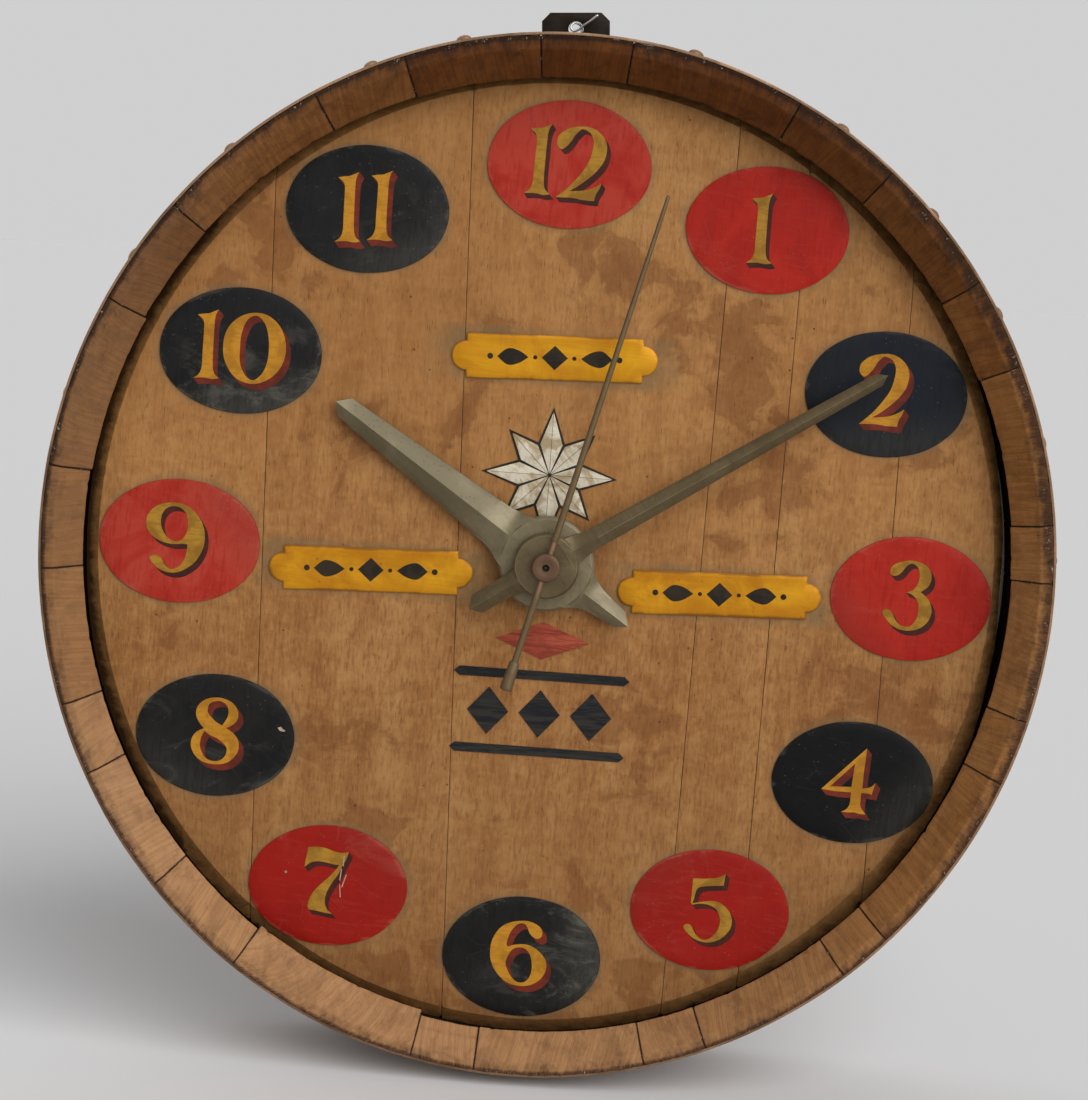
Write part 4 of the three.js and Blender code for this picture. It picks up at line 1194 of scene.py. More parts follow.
def make_oval(hour):
    """Thin domed oval, cut a little unevenly, with a rolled edge."""
    (across, _, up), _ = node_box(OVALS[hour - 1])

    def wobble(angle):
        return 1 + 0.013 * grain_noise(math.cos(angle) * 0.9, math.sin(angle) * 0.9, hour * 3.1)

    def shares(x, z):
        return (x - across) / OVAL_HALF_WIDTH, (z - up) / OVAL_HALF_HEIGHT

    def reach(x, z):
        u, v = shares(x, z)
        return math.hypot(u, v) / wobble(math.atan2(v, u))

    def ring(radius, count, shift):
        points = []
        for k in range(count):
            angle = math.tau * (k + shift) / count
            out = radius * wobble(angle)
            points.append((across + out * OVAL_HALF_WIDTH * math.cos(angle),
                           up + out * OVAL_HALF_HEIGHT * math.sin(angle)))
        return points

    inner = [point for radius, count in OVAL_RINGS for point in ring(radius, count, 0.5)]
    flat, faces = filled([ring(1.0, 128, 0)], inner + [(across, up)])

    def front(x, z):
        out = clamp((reach(x, z) - ROLL_START) / (1 - ROLL_START))
        warp = 0.06 * grain_noise(x * 0.03, z * 0.03, hour)
        return OVAL_FACE + ROLL_DROP * out ** 2.2 + warp * soft_step(0.7, 0.9, reach(x, z))

    points, solid = slab(flat, faces, front, HEAD_FACE)
    fading, paler, side, scuffs = OVAL_WEAR_AND_PAINTED_LIGHT[hour]
    turn = math.radians(side)
    rim, coat = [], []
    for x, _, z in points:
        u, v = shares(x, z)
        toward = u * math.sin(turn) + v * math.cos(turn)
        rim.append(clamp(reach(x, z)))
        # Second value: the side painted as sheen on navy and as shade on red.
        coat.append((fading, paler * soft_step(0.25, 1.0, toward), scuffs * soft_step(-0.8, 0.6, toward)))
    enamelled, _, _, slot = paints(hour)
    piece(f"oval_sheet_{hour:02d}", points, solid, enamelled, slot, stands_for=OVALS[hour - 1],
          stored={"piece": float(hour), "rim": rim, "coat": coat}, sharp=50)


for oval_hour in range(1, 13):
    make_oval(oval_hour)

# Places where the paint of an oval is chipped or scratched through to the pale ground: outlines
# right and down of the oval's centre, in view units
CHIPS = {
    8: [
        [(64, -8), (67.5, -9), (69.5, -6.5), (72, -5), (71, -3.8), (68.5, -4), (66, -5)],
    ],
    7: [
        [(-44.5, -15), (-42.5, -16), (-41.5, -14), (-43.5, -13)],
        [(16.5, -31), (17.6, -31), (16.2, -20), (15.2, -21)],
        [(13.6, -18), (14.6, -17), (12.6, -5), (11.7, -6)],
        [(18.6, -12), (19.3, -11), (14.4, 2), (13.7, 1)],
        [(11.6, -2), (12.4, -1), (12.8, 12), (12, 12)],
    ],
}
for chip_hour, chips in CHIPS.items():
    chip_loops = [[tuple(in_view(chip_hour, *spot)) for spot in chip] for chip in chips]
    chip_parts = [slab(*filled([loop]), OVAL_FACE - 0.22, OVAL_FACE + 0.05) for loop in chip_loops]
    piece(f"paint_chips_{chip_hour:02d}", *joined(chip_parts), PALE_GROUND, paints(chip_hour)[3])


# Numerals: outlines drawn as x and y with y down; c marks a sharp corner. The first
# number of each digit is how many drawing units make one dial millimetre.

DIGITS = {
    "1": (15.2, [
        "605,258c 585,290 570,340 562,420 553,540 545,660 543,760 555,815 595,855c 540,862 480,850"
        " 430,848 370,850c 410,825 435,790 448,740 455,640 465,520 473,420 474,370 460,335 420,300c"
        " 470,293 520,290 560,275",
    ]),
    "0": (15.2, [
        "638,600 650,500 690,410 760,340 840,300 920,287 1010,300 1090,350 1150,430 1182,530"
        " 1183,640 1150,740 1090,820 1000,880 900,905 800,885 720,830 670,750 645,680",
        "785,620 795,500 825,400 870,335 925,312 975,335 1015,400 1035,490 1038,590 1025,700"
        " 990,790 940,850 890,872 840,845 800,780 782,700",
    ]),
    "2": (16.1, [
        "548,415 560,360 600,320 650,290 720,272 800,268 870,280 930,315 980,370 1003,430 1005,490"
        " 985,570 940,640 880,705 800,770 720,825 665,852c 750,850 830,840 900,815 945,790 965,778c"
        " 945,830 915,880 900,938c 800,932 700,915 548,910c 600,870 680,800 760,710 830,610 865,520"
        " 882,430 875,370 850,325 810,300 775,292 750,310 715,345 690,385 665,420 625,460 590,475"
        " 560,450",
    ]),
    "3": (15.63, [
        "580,375 590,335 630,300 700,278 770,272 840,285 905,320 945,375 952,440 930,500 890,535"
        " 855,558c 905,600 940,650 957,720 945,790 905,850 840,893 760,910 680,900 600,860 545,800"
        " 518,760 520,725 550,712 585,725 610,765 635,815 670,855 720,872 760,870 800,835 825,790"
        " 838,720 835,660 810,610 770,575 725,560c 775,545 815,510 838,460 845,400 835,345 805,310"
        " 765,300 725,325 690,370 655,400 615,410 585,395",
    ]),
    "4": (15.63, [
        "912,288c 900,400 885,520 875,640 873,660c 920,655 960,640 995,608c 975,660 960,715c"
        " 915,705 865,700c 858,770 860,830 905,900c 850,895 800,880 750,882 680,875c 730,850"
        " 760,800 772,695c 700,690 600,680 500,662c 700,480",
        "805,430c 580,640c 775,645c",
    ]),
    "5": (15.63, [
        "605,330c 700,335 800,330 860,315 905,288c 895,340 885,400c 800,402 700,408 655,420"
        " 632,450c 620,500 600,565c 660,555 740,545 820,550 890,590 940,650 962,720 950,800"
        " 905,860 850,905 780,930 700,930 620,900 560,850 520,800 525,770 560,760 590,780 615,830"
        " 650,880 690,905 740,905 790,870 830,820 850,760 850,700 830,640 790,600 730,575 660,570"
        " 600,580c 585,560c",
    ]),
    "6": (16.58, [
        "800,275 860,285 920,310 965,350 978,400 965,440 925,455 880,430 850,390 835,345 810,310"
        " 770,300 725,320 680,370 650,430 630,500 640,535c 700,515 770,508 850,520 920,560 980,620"
        " 1015,690 1010,770 975,840 910,895 830,925 740,925 650,900 570,840 510,760 475,670 468,580"
        " 485,480 530,390 600,320 690,285",
        "620,690 650,610 690,560 750,540 810,555 855,610 875,700 868,790 835,860 780,893 720,880"
        " 670,830 635,760",
    ]),
    "7": (16.38, [
        "595,235c 680,232 760,245 850,280 920,293 985,285c 960,350 920,420 880,500 830,570 780,650"
        " 750,730 750,800 770,850 815,892c 740,880 660,860 590,850c 580,810 600,740 650,660 720,590"
        " 800,520 870,440 890,410c 840,405 760,385 690,375 620,385 555,430c 570,350",
    ]),
    "8": (16.1, [
        "805,258 880,270 950,305 995,360 1010,420 1000,470 960,515 890,550c 950,590 990,640"
        " 1008,700 1000,770 960,830 900,875 820,895 740,890 660,865 600,815 565,750 558,690 575,630"
        " 620,580 685,550c 650,510 620,450 612,400 630,340 680,290 740,265",
        "722,370 740,320 790,295 850,295 900,330 918,385 910,440 880,490 855,525c 800,490 750,440"
        " 725,400",
        "690,575c 740,615 810,650 870,700 895,750 880,810 840,850 780,865 710,845 665,790 645,720"
        " 655,640",
    ]),
    "9": (16.1, [
        "740,248 820,262 900,310 960,380 1000,460 1015,550 1005,650 960,750 890,830 800,885"
        " 720,905 640,895 570,860 515,800 495,760 520,742 560,740 600,765 630,815 665,860 710,870"
        " 770,845 815,790 840,720 852,640c 800,635 700,635 610,610 540,570 490,510 472,450 480,380"
        " 520,320 580,275 660,252",
        "608,440 620,360 660,305 720,283 790,295 840,345 860,420 855,500 830,560 790,600 730,610"
        " 670,575 625,510",
    ]),
}
# Digits of each hour: which, how far right and down of the oval's centre in the view (in view
# units), and a further clockwise lean in degrees
HOUR_DIGITS = {
    1: [("1", -8.4, -1.3, 0)], 2: [("2", -2.3, -4.1, 0)], 3: [("3", -3.9, -3.6, 0)],
    4: [("4", -4.1, -1.7, 0)], 5: [("5", -2.1, -2.5, 0)], 6: [("6", -3.2, -3.7, 0)],
    7: [("7", -1.0, -5.6, 0)], 8: [("8", -0.2, -4.5, 0)], 9: [("9", -3.9, -3.5, 0)],
    10: [("1", -34.4, -6.2, 0), ("0", 14.0, -2.1, 0)],
    11: [("1", -20.5, -1.5, -1), ("1", 12.1, -2.9, 0)],
    12: [("1", -31.2, -5.3, 1.5), ("2", 12.0, -1.0, 1.5)],
}


def digit_loops(digit, centre, lean):
    units, outlines = DIGITS[digit]
    loops = []
    for text in outlines:
        marked = []
        for word in text.split():
            x, y = word.rstrip("c").split(",")
            marked.append((float(x), float(y), word.endswith("c")))
        loops.append(curve_through(marked))
    spread = zip(*(point for loop in loops for point in loop))
    middle_x, middle_y = [(min(values) + max(values)) / 2 for values in spread]
    turn = Matrix.Rotation(-math.radians(lean), 2)
    return [
        [tuple(centre + turn @ upright((x - middle_x) / units, (y - middle_y) / units)) for x, y in loop]
        for loop in loops
    ]


def make_numeral(hour):
    """Painted digits of an oval, and the shade painted below and to the right of them."""
    _, gold, shade, slot = paints(hour)
    drop = Vector((2.4, -2.8)) if hour in RED_HOURS else Vector((3.0, -3.4))
    digits, shades = [], []
    for digit, right, down, lean in HOUR_DIGITS[hour]:
        flat, faces = filled(digit_loops(digit, in_view(hour, right, down), lean))
        digits.append(slab(flat, faces, OVAL_FACE - 0.17, OVAL_FACE))
        shades.append(slab(*swept(flat, faces, drop), OVAL_FACE - 0.07, OVAL_FACE + 0.05))
    piece(f"numeral_{hour:02d}", *joined(digits), gold, slot)
    piece(f"numeral_shade_{hour:02d}", *joined(shades), shade, slot)


for numeral_hour in range(1, 13):
    make_numeral(numeral_hour)


# Plaques, with a row of plain painted shapes

PLAQUE_HALF_BODY = 0.368 * DIAL_HALF_HEIGHT / 2
PLAQUE_HALF_HEIGHT = 0.093 * DIAL_HALF_HEIGHT / 2
PLAQUE_END = 0.031 * DIAL_HALF_HEIGHT
PLAQUE_FACE = HEAD_FACE - 1.2
PLAQUE_TURN = math.radians(2)
PLAQUE_ROLL = 1.1


def leaf(x, half_width, half_height):
    """Pointed leaf, as an outline round a centre."""
    return curve_through([
        (x - half_width, 0, True), (x - half_width * 0.35, half_height, False),
        (x + half_width * 0.35, half_height * 0.8, False), (x + half_width, 0, True),
        (x + half_width * 0.35, -half_height * 0.8, False), (x - half_width * 0.35, -half_height, False),
    ])


def disc(x, radius, count=28):
    turns = [math.tau * k / count for k in range(count)]
    return [(x + radius * math.cos(turn), radius * math.sin(turn)) for turn in turns]


def lozenge(x, z, half_width, half_height):
    return [(x - half_width, z), (x, z - half_height), (x + half_width, z), (x, z + half_height)]


LEFT_LEAF = leaf(-24, 9, 4.6)
ORNAMENT = [
    disc(-37, 1.7), LEFT_LEAF, disc(-11.2, 1.2), lozenge(0, 0, 7.5, 7), disc(11.2, 1.2),
    [(-x, z) for x, z in reversed(LEFT_LEAF)], disc(37, 1.7),
]


def make_plaque(name, number):
    """Bent brass sheet with stepped round ends, and the shapes painted on it."""
    (across, _, up), _ = node_box(name)
    half, tall, end = PLAQUE_HALF_BODY, PLAQUE_HALF_HEIGHT, PLAQUE_END
    c, s = math.cos(PLAQUE_TURN), math.sin(PLAQUE_TURN)

    def placed(loop):
        return [(across + x * c - z * s, up + x * s + z * c) for x, z in loop]

    def side(ax, az, bx, bz, count):
        return [(ax + (bx - ax) * k / count, az + (bz - az) * k / count) for k in range(count)]

    turns = [math.pi * k / 18 for k in range(18)]
    outline = side(-half, -tall, half, -tall, 30) + side(half, -tall, half, -end, 2)
    outline += [(half + end * math.sin(turn), -end * math.cos(turn)) for turn in turns]
    outline += side(half, end, half, tall, 2)
    outline += [(-x, -z) for x, z in outline]
    inner = [
        (-half + 2 * half * k / 34, -tall + 2 * tall * j / 9)
        for k in range(1, 34) for j in range(1, 9)
    ]
    inner += [(x * (1 - 0.9 / (half + end)), z * (1 - 0.9 / tall)) for x, z in outline]
    edge = [Vector(point) for point in placed(outline)]

    def from_edge(x, z):
        here = Vector((x, z))
        return min((here - point).length for point in edge)

    def front(x, z):
        along = (x - across) * c + (z - up) * s
        warp = 0.14 * math.sin(along / 17 + number) + 0.1 * grain_noise(x * 0.05, z * 0.05, number)
        roll = 0.3 * max(0, 1 - from_edge(x, z) / PLAQUE_ROLL) ** 2
        return PLAQUE_FACE + 0.12 + 0.5 * warp + roll

    points, solid = slab(*filled([placed(outline)], placed(inner)), front, HEAD_FACE)
    rim = [1.0 - min(1.0, from_edge(x, z) / 20) for x, _, z in points]
    piece(name + "_sheet", points, solid, PLAQUE, "plaque_brass", stands_for=name,
          stored={"piece": float(number), "rim": rim}, sharp=50)
    painted = [
        slab(*filled([placed(shape)]), lambda x, z: front(x, z) - 0.07, lambda x, z: front(x, z) + 0.05)
        for shape in ORNAMENT
    ]
    piece(name + "_ornament", *joined(painted), BLACK, "plaque_brass")


for plaque_number, plaque in enumerate(PLAQUES, 1):
    make_plaque(plaque, plaque_number)


# Plain inlay in the middle of the dial: a compass star, a lozenge, and two bars with three lozenges

STAR_CENTRE = Vector((-1.9, 50))
STAR_LONG = 37
STAR_SHORT = 33
STAR_NOTCH = 19
STAR_FACE = HEAD_FACE - 0.4
STAR_RIDGE = HEAD_FACE - 0.75
FACET_GAP = 0.9
BAR = ((-46, -2.7), (50, -2.7), (53, 0), (50, 2.7), (-46, 2.7), (-49, 0))


def inlay(name, loops, look, slot, raise_by=0.4):
    piece(name, *slab(*filled(loops), HEAD_FACE - raise_by, HEAD_FACE + 0.1), look, slot)


def star_spot(reach, angle):
    return Vector((STAR_CENTRE.x + reach * math.sin(angle), STAR_CENTRE.y + reach * math.cos(angle)))


def make_star():
    """Star of sixteen facets, each sloping down from a ridge between the centre and a tip."""
    corners = []
    for k in range(8):
        corners.append((STAR_SHORT if k % 2 else STAR_LONG, math.pi / 4 * k))
        corners.append((STAR_NOTCH, math.pi / 4 * (k + 0.5)))
    ground = [star_spot(reach + (2.2 if reach > STAR_NOTCH else 1.0), angle) for reach, angle in corners]
    inlay("star_ground", [[tuple(spot) for spot in ground[::-1]]], DARK_INLAY, "head_oak", 0.25)
    facets = []
    for k in range(16):
        first, second = corners[k], corners[(k + 1) % 16]
        triangle = [star_spot(0, 0), star_spot(*first), star_spot(*second)]
        middle = sum(triangle, Vector((0, 0))) / 3
        shrunk = [corner + (middle - corner).normalized() * FACET_GAP for corner in triangle]
        tip = 1 if first[0] > second[0] else 2
        points = [(p.x, STAR_RIDGE if i in (0, tip) else STAR_FACE, p.y) for i, p in enumerate(shrunk)]
        points += [(p.x, HEAD_FACE, p.y) for p in shrunk]
        facets.append((points, [(0, 1, 2), (3, 5, 4), (0, 3, 4, 1), (1, 4, 5, 2), (2, 5, 3, 0)]))
    piece("star_facets", *joined(facets), SILVER, "arbor_steel", sharp=5)


make_star()
inlay("lozenge_red", [lozenge(1, -46.5, 27, 11)], RED_INLAY, "red_paint")
for bar_number, bar_up in enumerate((-67, -112), 1):
    bar = [(x, bar_up + up) for x, up in BAR]
    inlay(f"bar_navy_{bar_number}", [bar], NAVY_INLAY, "navy_paint")
for diamond_number, diamond_across in enumerate((-28, 2, 32), 1):
    diamond = lozenge(diamond_across, -89.5, 12, 14)
    inlay(f"lozenge_navy_{diamond_number}", [diamond], NAVY_INLAY, "navy_paint")


# Hands

# Hub of each hand (radius, depth of its front and back), thickness of its arms' edges, and each
# arm: clockwise degrees, widths at the arbor and the tip, length, swelling into the hub, and the
# side painted paler as painted light
HAND_HUBS = {"hour": (27.4, 16, 24, 1.6), "minute": (18.8, 6, 13, 1.4)}
HAND_ARMS = {
    "hour": {"arm": (303.8, 29.2, 13.2, 145, 3.5, 1), "tail": (123.8, 22.4, 11.2, 53, 6, -1)},
    "minute": {"arm": (56.6, 13.2, 7.6, 215, 2.5, 0), "tail": (236.6, 12.2, 12, 45, 1.5, 0)},
}
FLARE_START = 0.68
FLARE_LENGTH = 15
FLARE_STEPS = 12


def hand_flare(hand, arm):
    """Swelling that runs an arm of a hand into its hub."""
    radius, front, back, thin = HAND_HUBS[hand]
    degrees, hub_width, tip_width, reach, swell, painted_light_side = HAND_ARMS[hand][arm]
    along, across = clock_vectors(degrees)
    start, end = radius * FLARE_START, radius + FLARE_LENGTH
    points, tint_mark = [], []
    for k in range(FLARE_STEPS + 1):
        distance = start + (end - start) * k / FLARE_STEPS
        share = soft_step(start, end, distance)
        half = (hub_width + (tip_width - hub_width) * distance / reach) / 2 + 0.1 + swell * (1 - share) ** 2
        edge = front - 0.1 + (back - thin - front) * soft_step(radius - 6, radius + 5, distance)
        ridge = front - 0.3 + (1.0 + 1.6 * distance / reach) * share
        for side in (-1, -0.5, 0, 0.5, 1):
            spot = along * distance + across * half * side
            points.append((spot.x, ridge + (edge - ridge) * abs(side), spot.z))
            # The side of the arm chosen by the last column is painted paler: painted light.
            pale = 1 if side * painted_light_side > 0 else 0.5 * abs(painted_light_side) * (side == 0)
            tint_mark.append(-pale * soft_step(0.1, 0.75, share))
        for side in (1, -1):
            spot = along * distance + across * half * side
            points.append((spot.x, back - 0.2, spot.z))
            tint_mark.append(0.0)
    faces = ring_faces(7, FLARE_STEPS + 1)
    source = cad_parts[hand + "_hand"]
    piece(f"{hand}_{arm}_flare", points, faces, source.data.materials[0], source["record_slot"],
          hand + "_train", stored={"tint_mark": tint_mark}, sharp=24)


# The hour hand's side that faces up and to the right is painted paler: painted light.
softened("hour_hand", 0.5, "hour_train", painted_light_towards=Vector((0.55, 0, 0.83)))
softened("minute_hand", 0.35, "minute_train")
for hand_name, hand_arms in HAND_ARMS.items():
    for arm_name in hand_arms:
        hand_flare(hand_name, arm_name)

SECOND_ALONG, SECOND_ASIDE = clock_vectors(14.1)
SECOND_DEPTH = Vector((0, 0.5, 0))
SECOND_REACH = 0.802 * DIAL_HALF_HEIGHT
SECOND_TAIL = 0.27 * DIAL_HALF_HEIGHT
WEIGHT_START = SECOND_TAIL - 17
# Stations of the second hand's parts: distance from the arbor (of the hub, depth) and radius
SECOND_HUB = [
    (3, 7.7), (2.7, 8.1), (-1.2, 8.1), (-1.8, 7.7), (-2, 7.2), (-1.9, 4.2), (-1.55, 3.4), (-1.6, 2.2),
    (-0.9, 1.5), (0.6, 1.45),
]
ROD_START = [(2, 1.4), (15.6, 1.4), (16, 1.9), (17, 2.05), (19, 2.0)]
ROD = ROD_START + [
    (40, 1.95), (90, 1.75), (150, 1.5), (SECOND_REACH - 12, 1.2), (SECOND_REACH - 1.6, 1.1),
    (SECOND_REACH - 0.4, 0.8), (SECOND_REACH, 0.3),
]
COUNTERWEIGHT = ROD_START + [
    (WEIGHT_START - 0.6, 1.95), (WEIGHT_START, 2.7), (WEIGHT_START + 0.8, 3.0),
    (SECOND_TAIL - 2.4, 3.55), (SECOND_TAIL - 1, 3.65), (SECOND_TAIL - 0.3, 3.3), (SECOND_TAIL, 2.4),
]


def on_axis(x=0.0, y=0.0, z=0.0):
    """Places the points of a round solid whose axis runs towards the wall."""
    return lambda distance, radius, around: (
        x + radius * math.cos(around), y + distance, z + radius * math.sin(around))


def on_rod(way):
    def spot(distance, radius, around):
        centre = SECOND_ALONG * distance * way + SECOND_DEPTH
        across = SECOND_ASIDE * math.cos(around) * way + Vector((0, math.sin(around), 0))
        return tuple(centre + across * radius)
    return spot


second_parts = [
    turned(SECOND_HUB, 40, on_axis()), turned(ROD, 20, on_rod(1)), turned(COUNTERWEIGHT, 20, on_rod(-1)),
]
piece("second_hand_rod", *joined(second_parts), SECOND, "second_metal", "second_train",
      stands_for="second_hand", sharp=40)


# Movement seen from behind: case, lid with its screws, motor can, terminals and setting knob

HEAD_CURVE = 0.93
SLOT_HALF_ANGLE = math.asin(0.16)
CASE_INSET = 6
CAN_HEIGHT = 20
CAN_UP = -20
CAN_STATIONS = [
    (-0.2, 23.6), (1.0, 23.6), (1.3, 23.3), (1.5, 22.3), (6.6, 22.3), (7.0, 22.75), (8.2, 22.75),
    (8.6, 22.3), (18.8, 22.3), (20.0, 21.7), (20.4, 20.6), (20.4, 14.2), (20.0, 13.6), (20.0, 6.4),
    (20.6, 5.8), (20.8, 4.8), (20.8, 0.6),
]
KNOB_STATIONS = [
    (-8.6, 6.4), (-8.3, 7.3), (-1.0, 7.3), (-0.2, 6.8), (0.15, 6.0), (0.15, 3.2), (-0.2, 2.8), (-0.2, 0.4),
]


def screw_head(x, y, z, radius, slot_turn, tall):
    """Slotted screw head that stands towards the wall from depth y."""
    rings = [(-0.3, radius), (tall * 0.35, radius), (tall * 0.6, radius * HEAD_CURVE)]
    parts = [turned(rings, 24, on_axis(x, y, z))]

    def top(u, v):
        return y + tall * (1 - 0.45 * ((u - x) ** 2 + (v - z) ** 2) / radius ** 2)

    def spot(reach, around):
        return x + radius * reach * math.cos(around), z + radius * reach * math.sin(around)

    for side in (0, math.pi):
        arc = math.pi - 2 * SLOT_HALF_ANGLE
        loop = [spot(HEAD_CURVE, side + SLOT_HALF_ANGLE + arc * k / 14 + slot_turn) for k in range(15)]
        middle = spot(0.5, side + math.pi / 2 + slot_turn)
        parts.append(slab(*filled([loop], [middle]), top, y + tall * 0.5))
    return joined(parts)


def screws(name, heads, look, slot, tall):
    parts = [screw_head(*head, 0.4 + k * 1.1, tall) for k, head in enumerate(heads)]
    piece(name, *joined(parts), look, slot)


def on_knob(distance, radius, around):
    """Places the points of the knob, whose outer rings are ribbed."""
    ribbed = radius * (1 + (0.045 * math.cos(24 * around) if radius > 7 else 0))
    return on_axis(0, knob_back, knob_up)(distance, ribbed, around)


softened("movement_case", 0.5)
softened("motor_unit", 0.5)
softened("dial_nut", 0.4)
case_low, case_high = node_corners("movement_case")
lid_back = node_corners("motor_unit")[1][1] - CAN_HEIGHT
lid_screws = [
    (x, lid_back, z, 2.4)
    for x in (case_low[0] + CASE_INSET, case_high[0] - CASE_INSET)
    for z in (case_low[2] + CASE_INSET, case_high[2] - CASE_INSET)
]
screws("lid_screws", lid_screws, GROUND, "arbor_steel", 1.2)
screws("terminal_screws", [(x, lid_back + 11, -45.5, 2.3) for x in (-6.5, 6.5)], GEAR, "gear_brass", 0.8)
can = turned(CAN_STATIONS, 72, on_axis(0, lid_back, CAN_UP))
piece("motor_can_shell", *can, BLACK_CAN, "motor_black", sharp=40)
knob_low, knob_high = node_corners("motion_wheel")
knob_up = (knob_low[2] + knob_high[2]) / 2
knob_back = knob_high[1]
knob = turned(KNOB_STATIONS, 144, on_knob)
piece("setting_knob_grip", *knob, GEAR, "gear_brass", "motion_train", sharp=50)


# Hanger, its screws and the twist of wire

HANGER_HOLE = Vector((-5.3, 113.2, outer_radius(STAVE_LENGTH) + 4.8))
WIRE_RADIUS = 0.7
WIRE_SIDES = 10
WIRE_PATH = [Vector(p) for p in (
    (3.4, 3.9, -2.5), (3.2, 3.6, 1.2), (1.2, 2.4, 3.0), (-1.8, 0.4, 3.0), (-3.2, -0.4, 0.4),
    (-1.2, -0.6, -1.6), (1.8, -0.8, -0.6), (4.5, -1.4, 2.0), (8.5, -2.0, 5.0), (12.6, -2.4, 8.6),
)]


def make_wire():
    """Round wire along a smooth path through the hanger's hole, thinner at its two ends."""
    path = [HANGER_HOLE + point for point in WIRE_PATH]
    ends = [path[0]] + path + [path[-1]]
    smooth = []
    for four in zip(ends, ends[1:], ends[2:], ends[3:]):
        for k in range(6):
            shares = spline_weights(k / 6)
            smooth.append(sum((p * share for p, share in zip(four, shares)), Vector((0, 0, 0))))
    smooth.append(path[-1])
    last = len(smooth) - 1
    points = []
    guide = Vector((0.2, 0.9, 0.3))
    for i, spot in enumerate(smooth):
        way = (smooth[min(i + 1, last)] - smooth[max(i - 1, 0)]).normalized()
        guide = (guide - way * guide.dot(way)).normalized()
        other = way.cross(guide)
        radius = WIRE_RADIUS * (0.6 if i in (0, last) else 1)
        for k in range(WIRE_SIDES):
            around = math.tau * k / WIRE_SIDES
            points.append(tuple(spot + (guide * math.cos(around) + other * math.sin(around)) * radius))
    piece("hanger_wire", points, ring_faces(WIRE_SIDES, len(smooth)), WIRE, "arbor_steel")


softened("hanger_plate", 0.35)
hanger_low, hanger_high = node_corners("hanger_plate")
hanger_across = (hanger_low[0] + hanger_high[0]) / 2
hanger_screws = [(hanger_across + x, hanger_high[1] - 0.38, 293, 3.4) for x in (-12, 12)]
screws("hanger_screws", hanger_screws, GROUND, "arbor_steel", 0.4)
make_wire()


# Camera, light and floor

LENS = 85.09
SENSOR_WIDTH = 36
CAMERA_PLACE = (0.0101, -1.5789, -0.1310)
# Turns of the camera: degrees and axis. The last one acts first
CAMERA_TURNS = ((0.25823, "Z"), (-6.85721, "X"), (-4.0599, "Y"), (90, "X"))
AMBIENT = 0.22
FLOOR_COLOUR = (0.8, 0.8, 0.806)
FLOOR_HALF = 30
FLOOR_GAP = 0.0005
# Share of the lit floor's brightness that the background has, so that the two look alike
BACKGROUND_GAIN = 1.013
# Strength, width in degrees and direction of each lamp
LAMPS = {
    "key": (2.8, 66, Vector((0.5, -0.72, 0.48))),
    "fill_from_behind": (1.0, 90, Vector((-0.45, 0.8, 0.4))),
}

camera = bpy.data.cameras.new("camera")
camera.lens = LENS
camera.sensor_width = SENSOR_WIDTH
camera_object = bpy.data.objects.new("camera", camera)
bpy.context.scene.collection.objects.link(camera_object)
camera_object.matrix_world = Matrix.Translation(CAMERA_PLACE)
for degrees, axis in CAMERA_TURNS:
    camera_object.matrix_world @= Matrix.Rotation(math.radians(degrees), 4, axis)
bpy.context.scene.camera = camera_object

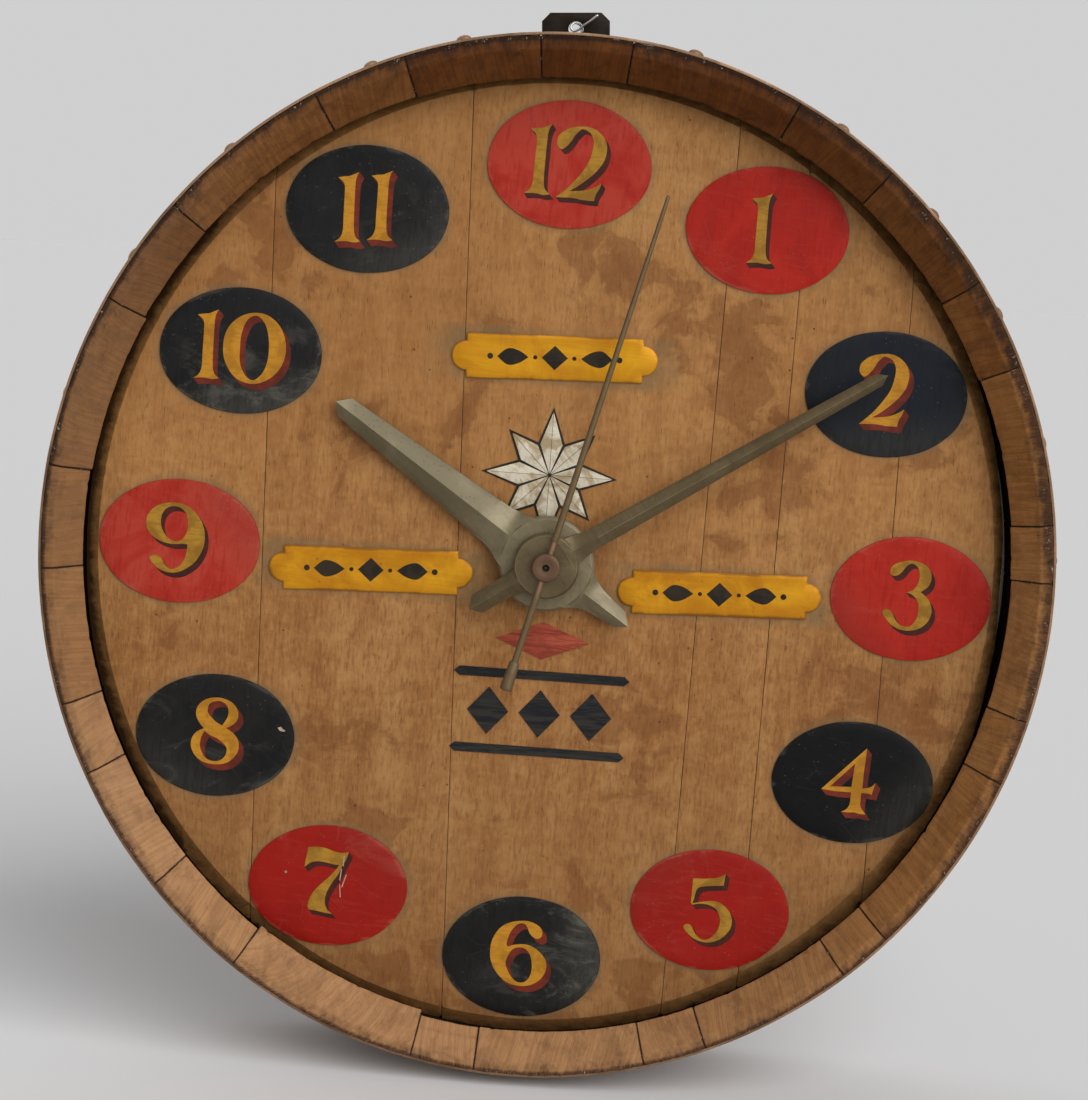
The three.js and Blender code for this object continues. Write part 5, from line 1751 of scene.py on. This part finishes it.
lit = AMBIENT
for lamp, (strength, spread, to_light) in LAMPS.items():
    sun = bpy.data.lights.new(lamp, "SUN")
    sun.energy = strength
    sun.angle = math.radians(spread)
    sun_object = bpy.data.objects.new(lamp, sun)
    bpy.context.scene.collection.objects.link(sun_object)
    sun_object.rotation_mode = "QUATERNION"
    sun_object.rotation_quaternion = to_light.to_track_quat("Z", "Y")
    lit += strength / math.pi * to_light.normalized().z

world = bpy.data.worlds.new("world")
bpy.context.scene.world = world
world.use_nodes = True
tree = world.node_tree
tree.nodes.clear()
path, either, any_ray, plain, seen, choose, out = [tree.nodes.new("ShaderNode" + kind) for kind in (
    "LightPath", "Math", "Math", "Background", "Background", "MixShader", "OutputWorld",
)]
either.operation = "MAXIMUM"
any_ray.operation = "MAXIMUM"
plain.inputs["Color"].default_value = (1, 1, 1, 1)
plain.inputs["Strength"].default_value = AMBIENT
seen.inputs["Color"].default_value = (*(channel * lit * BACKGROUND_GAIN for channel in FLOOR_COLOUR), 1)
seen.inputs["Strength"].default_value = 1
for source, socket in (
    (path.outputs["Is Camera Ray"], either.inputs[0]),
    (path.outputs["Is Glossy Ray"], either.inputs[1]),
    (path.outputs["Is Transmission Ray"], any_ray.inputs[1]),
    (either.outputs[0], any_ray.inputs[0]),
    (any_ray.outputs[0], choose.inputs[0]),
    (plain.outputs[0], choose.inputs[1]),
    (seen.outputs[0], choose.inputs[2]),
    (choose.outputs[0], out.inputs[0]),
):
    tree.links.new(source, socket)

floor_mesh = bpy.data.meshes.new("floor")
floor_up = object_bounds()[0].z - FLOOR_GAP
floor_corners = [(-1, -1), (1, -1), (1, 1), (-1, 1)]
floor_points = [(x * FLOOR_HALF, y * FLOOR_HALF, floor_up) for x, y in floor_corners]
floor_mesh.from_pydata(floor_points, [], [(0, 1, 2, 3)])
floor_look = bpy.data.materials.new("floor")
floor_look.use_nodes = True
floor_shader = floor_look.node_tree.nodes["Principled BSDF"]
floor_shader.inputs["Base Color"].default_value = (*FLOOR_COLOUR, 1)
floor_shader.inputs["Roughness"].default_value = 1
floor_shader.inputs["Specular IOR Level"].default_value = 0
floor_mesh.materials.append(floor_look)
floor = bpy.data.objects.new("floor", floor_mesh)
bpy.context.scene.collection.objects.link(floor)

bpy.context.scene.view_settings.view_transform = "Standard"
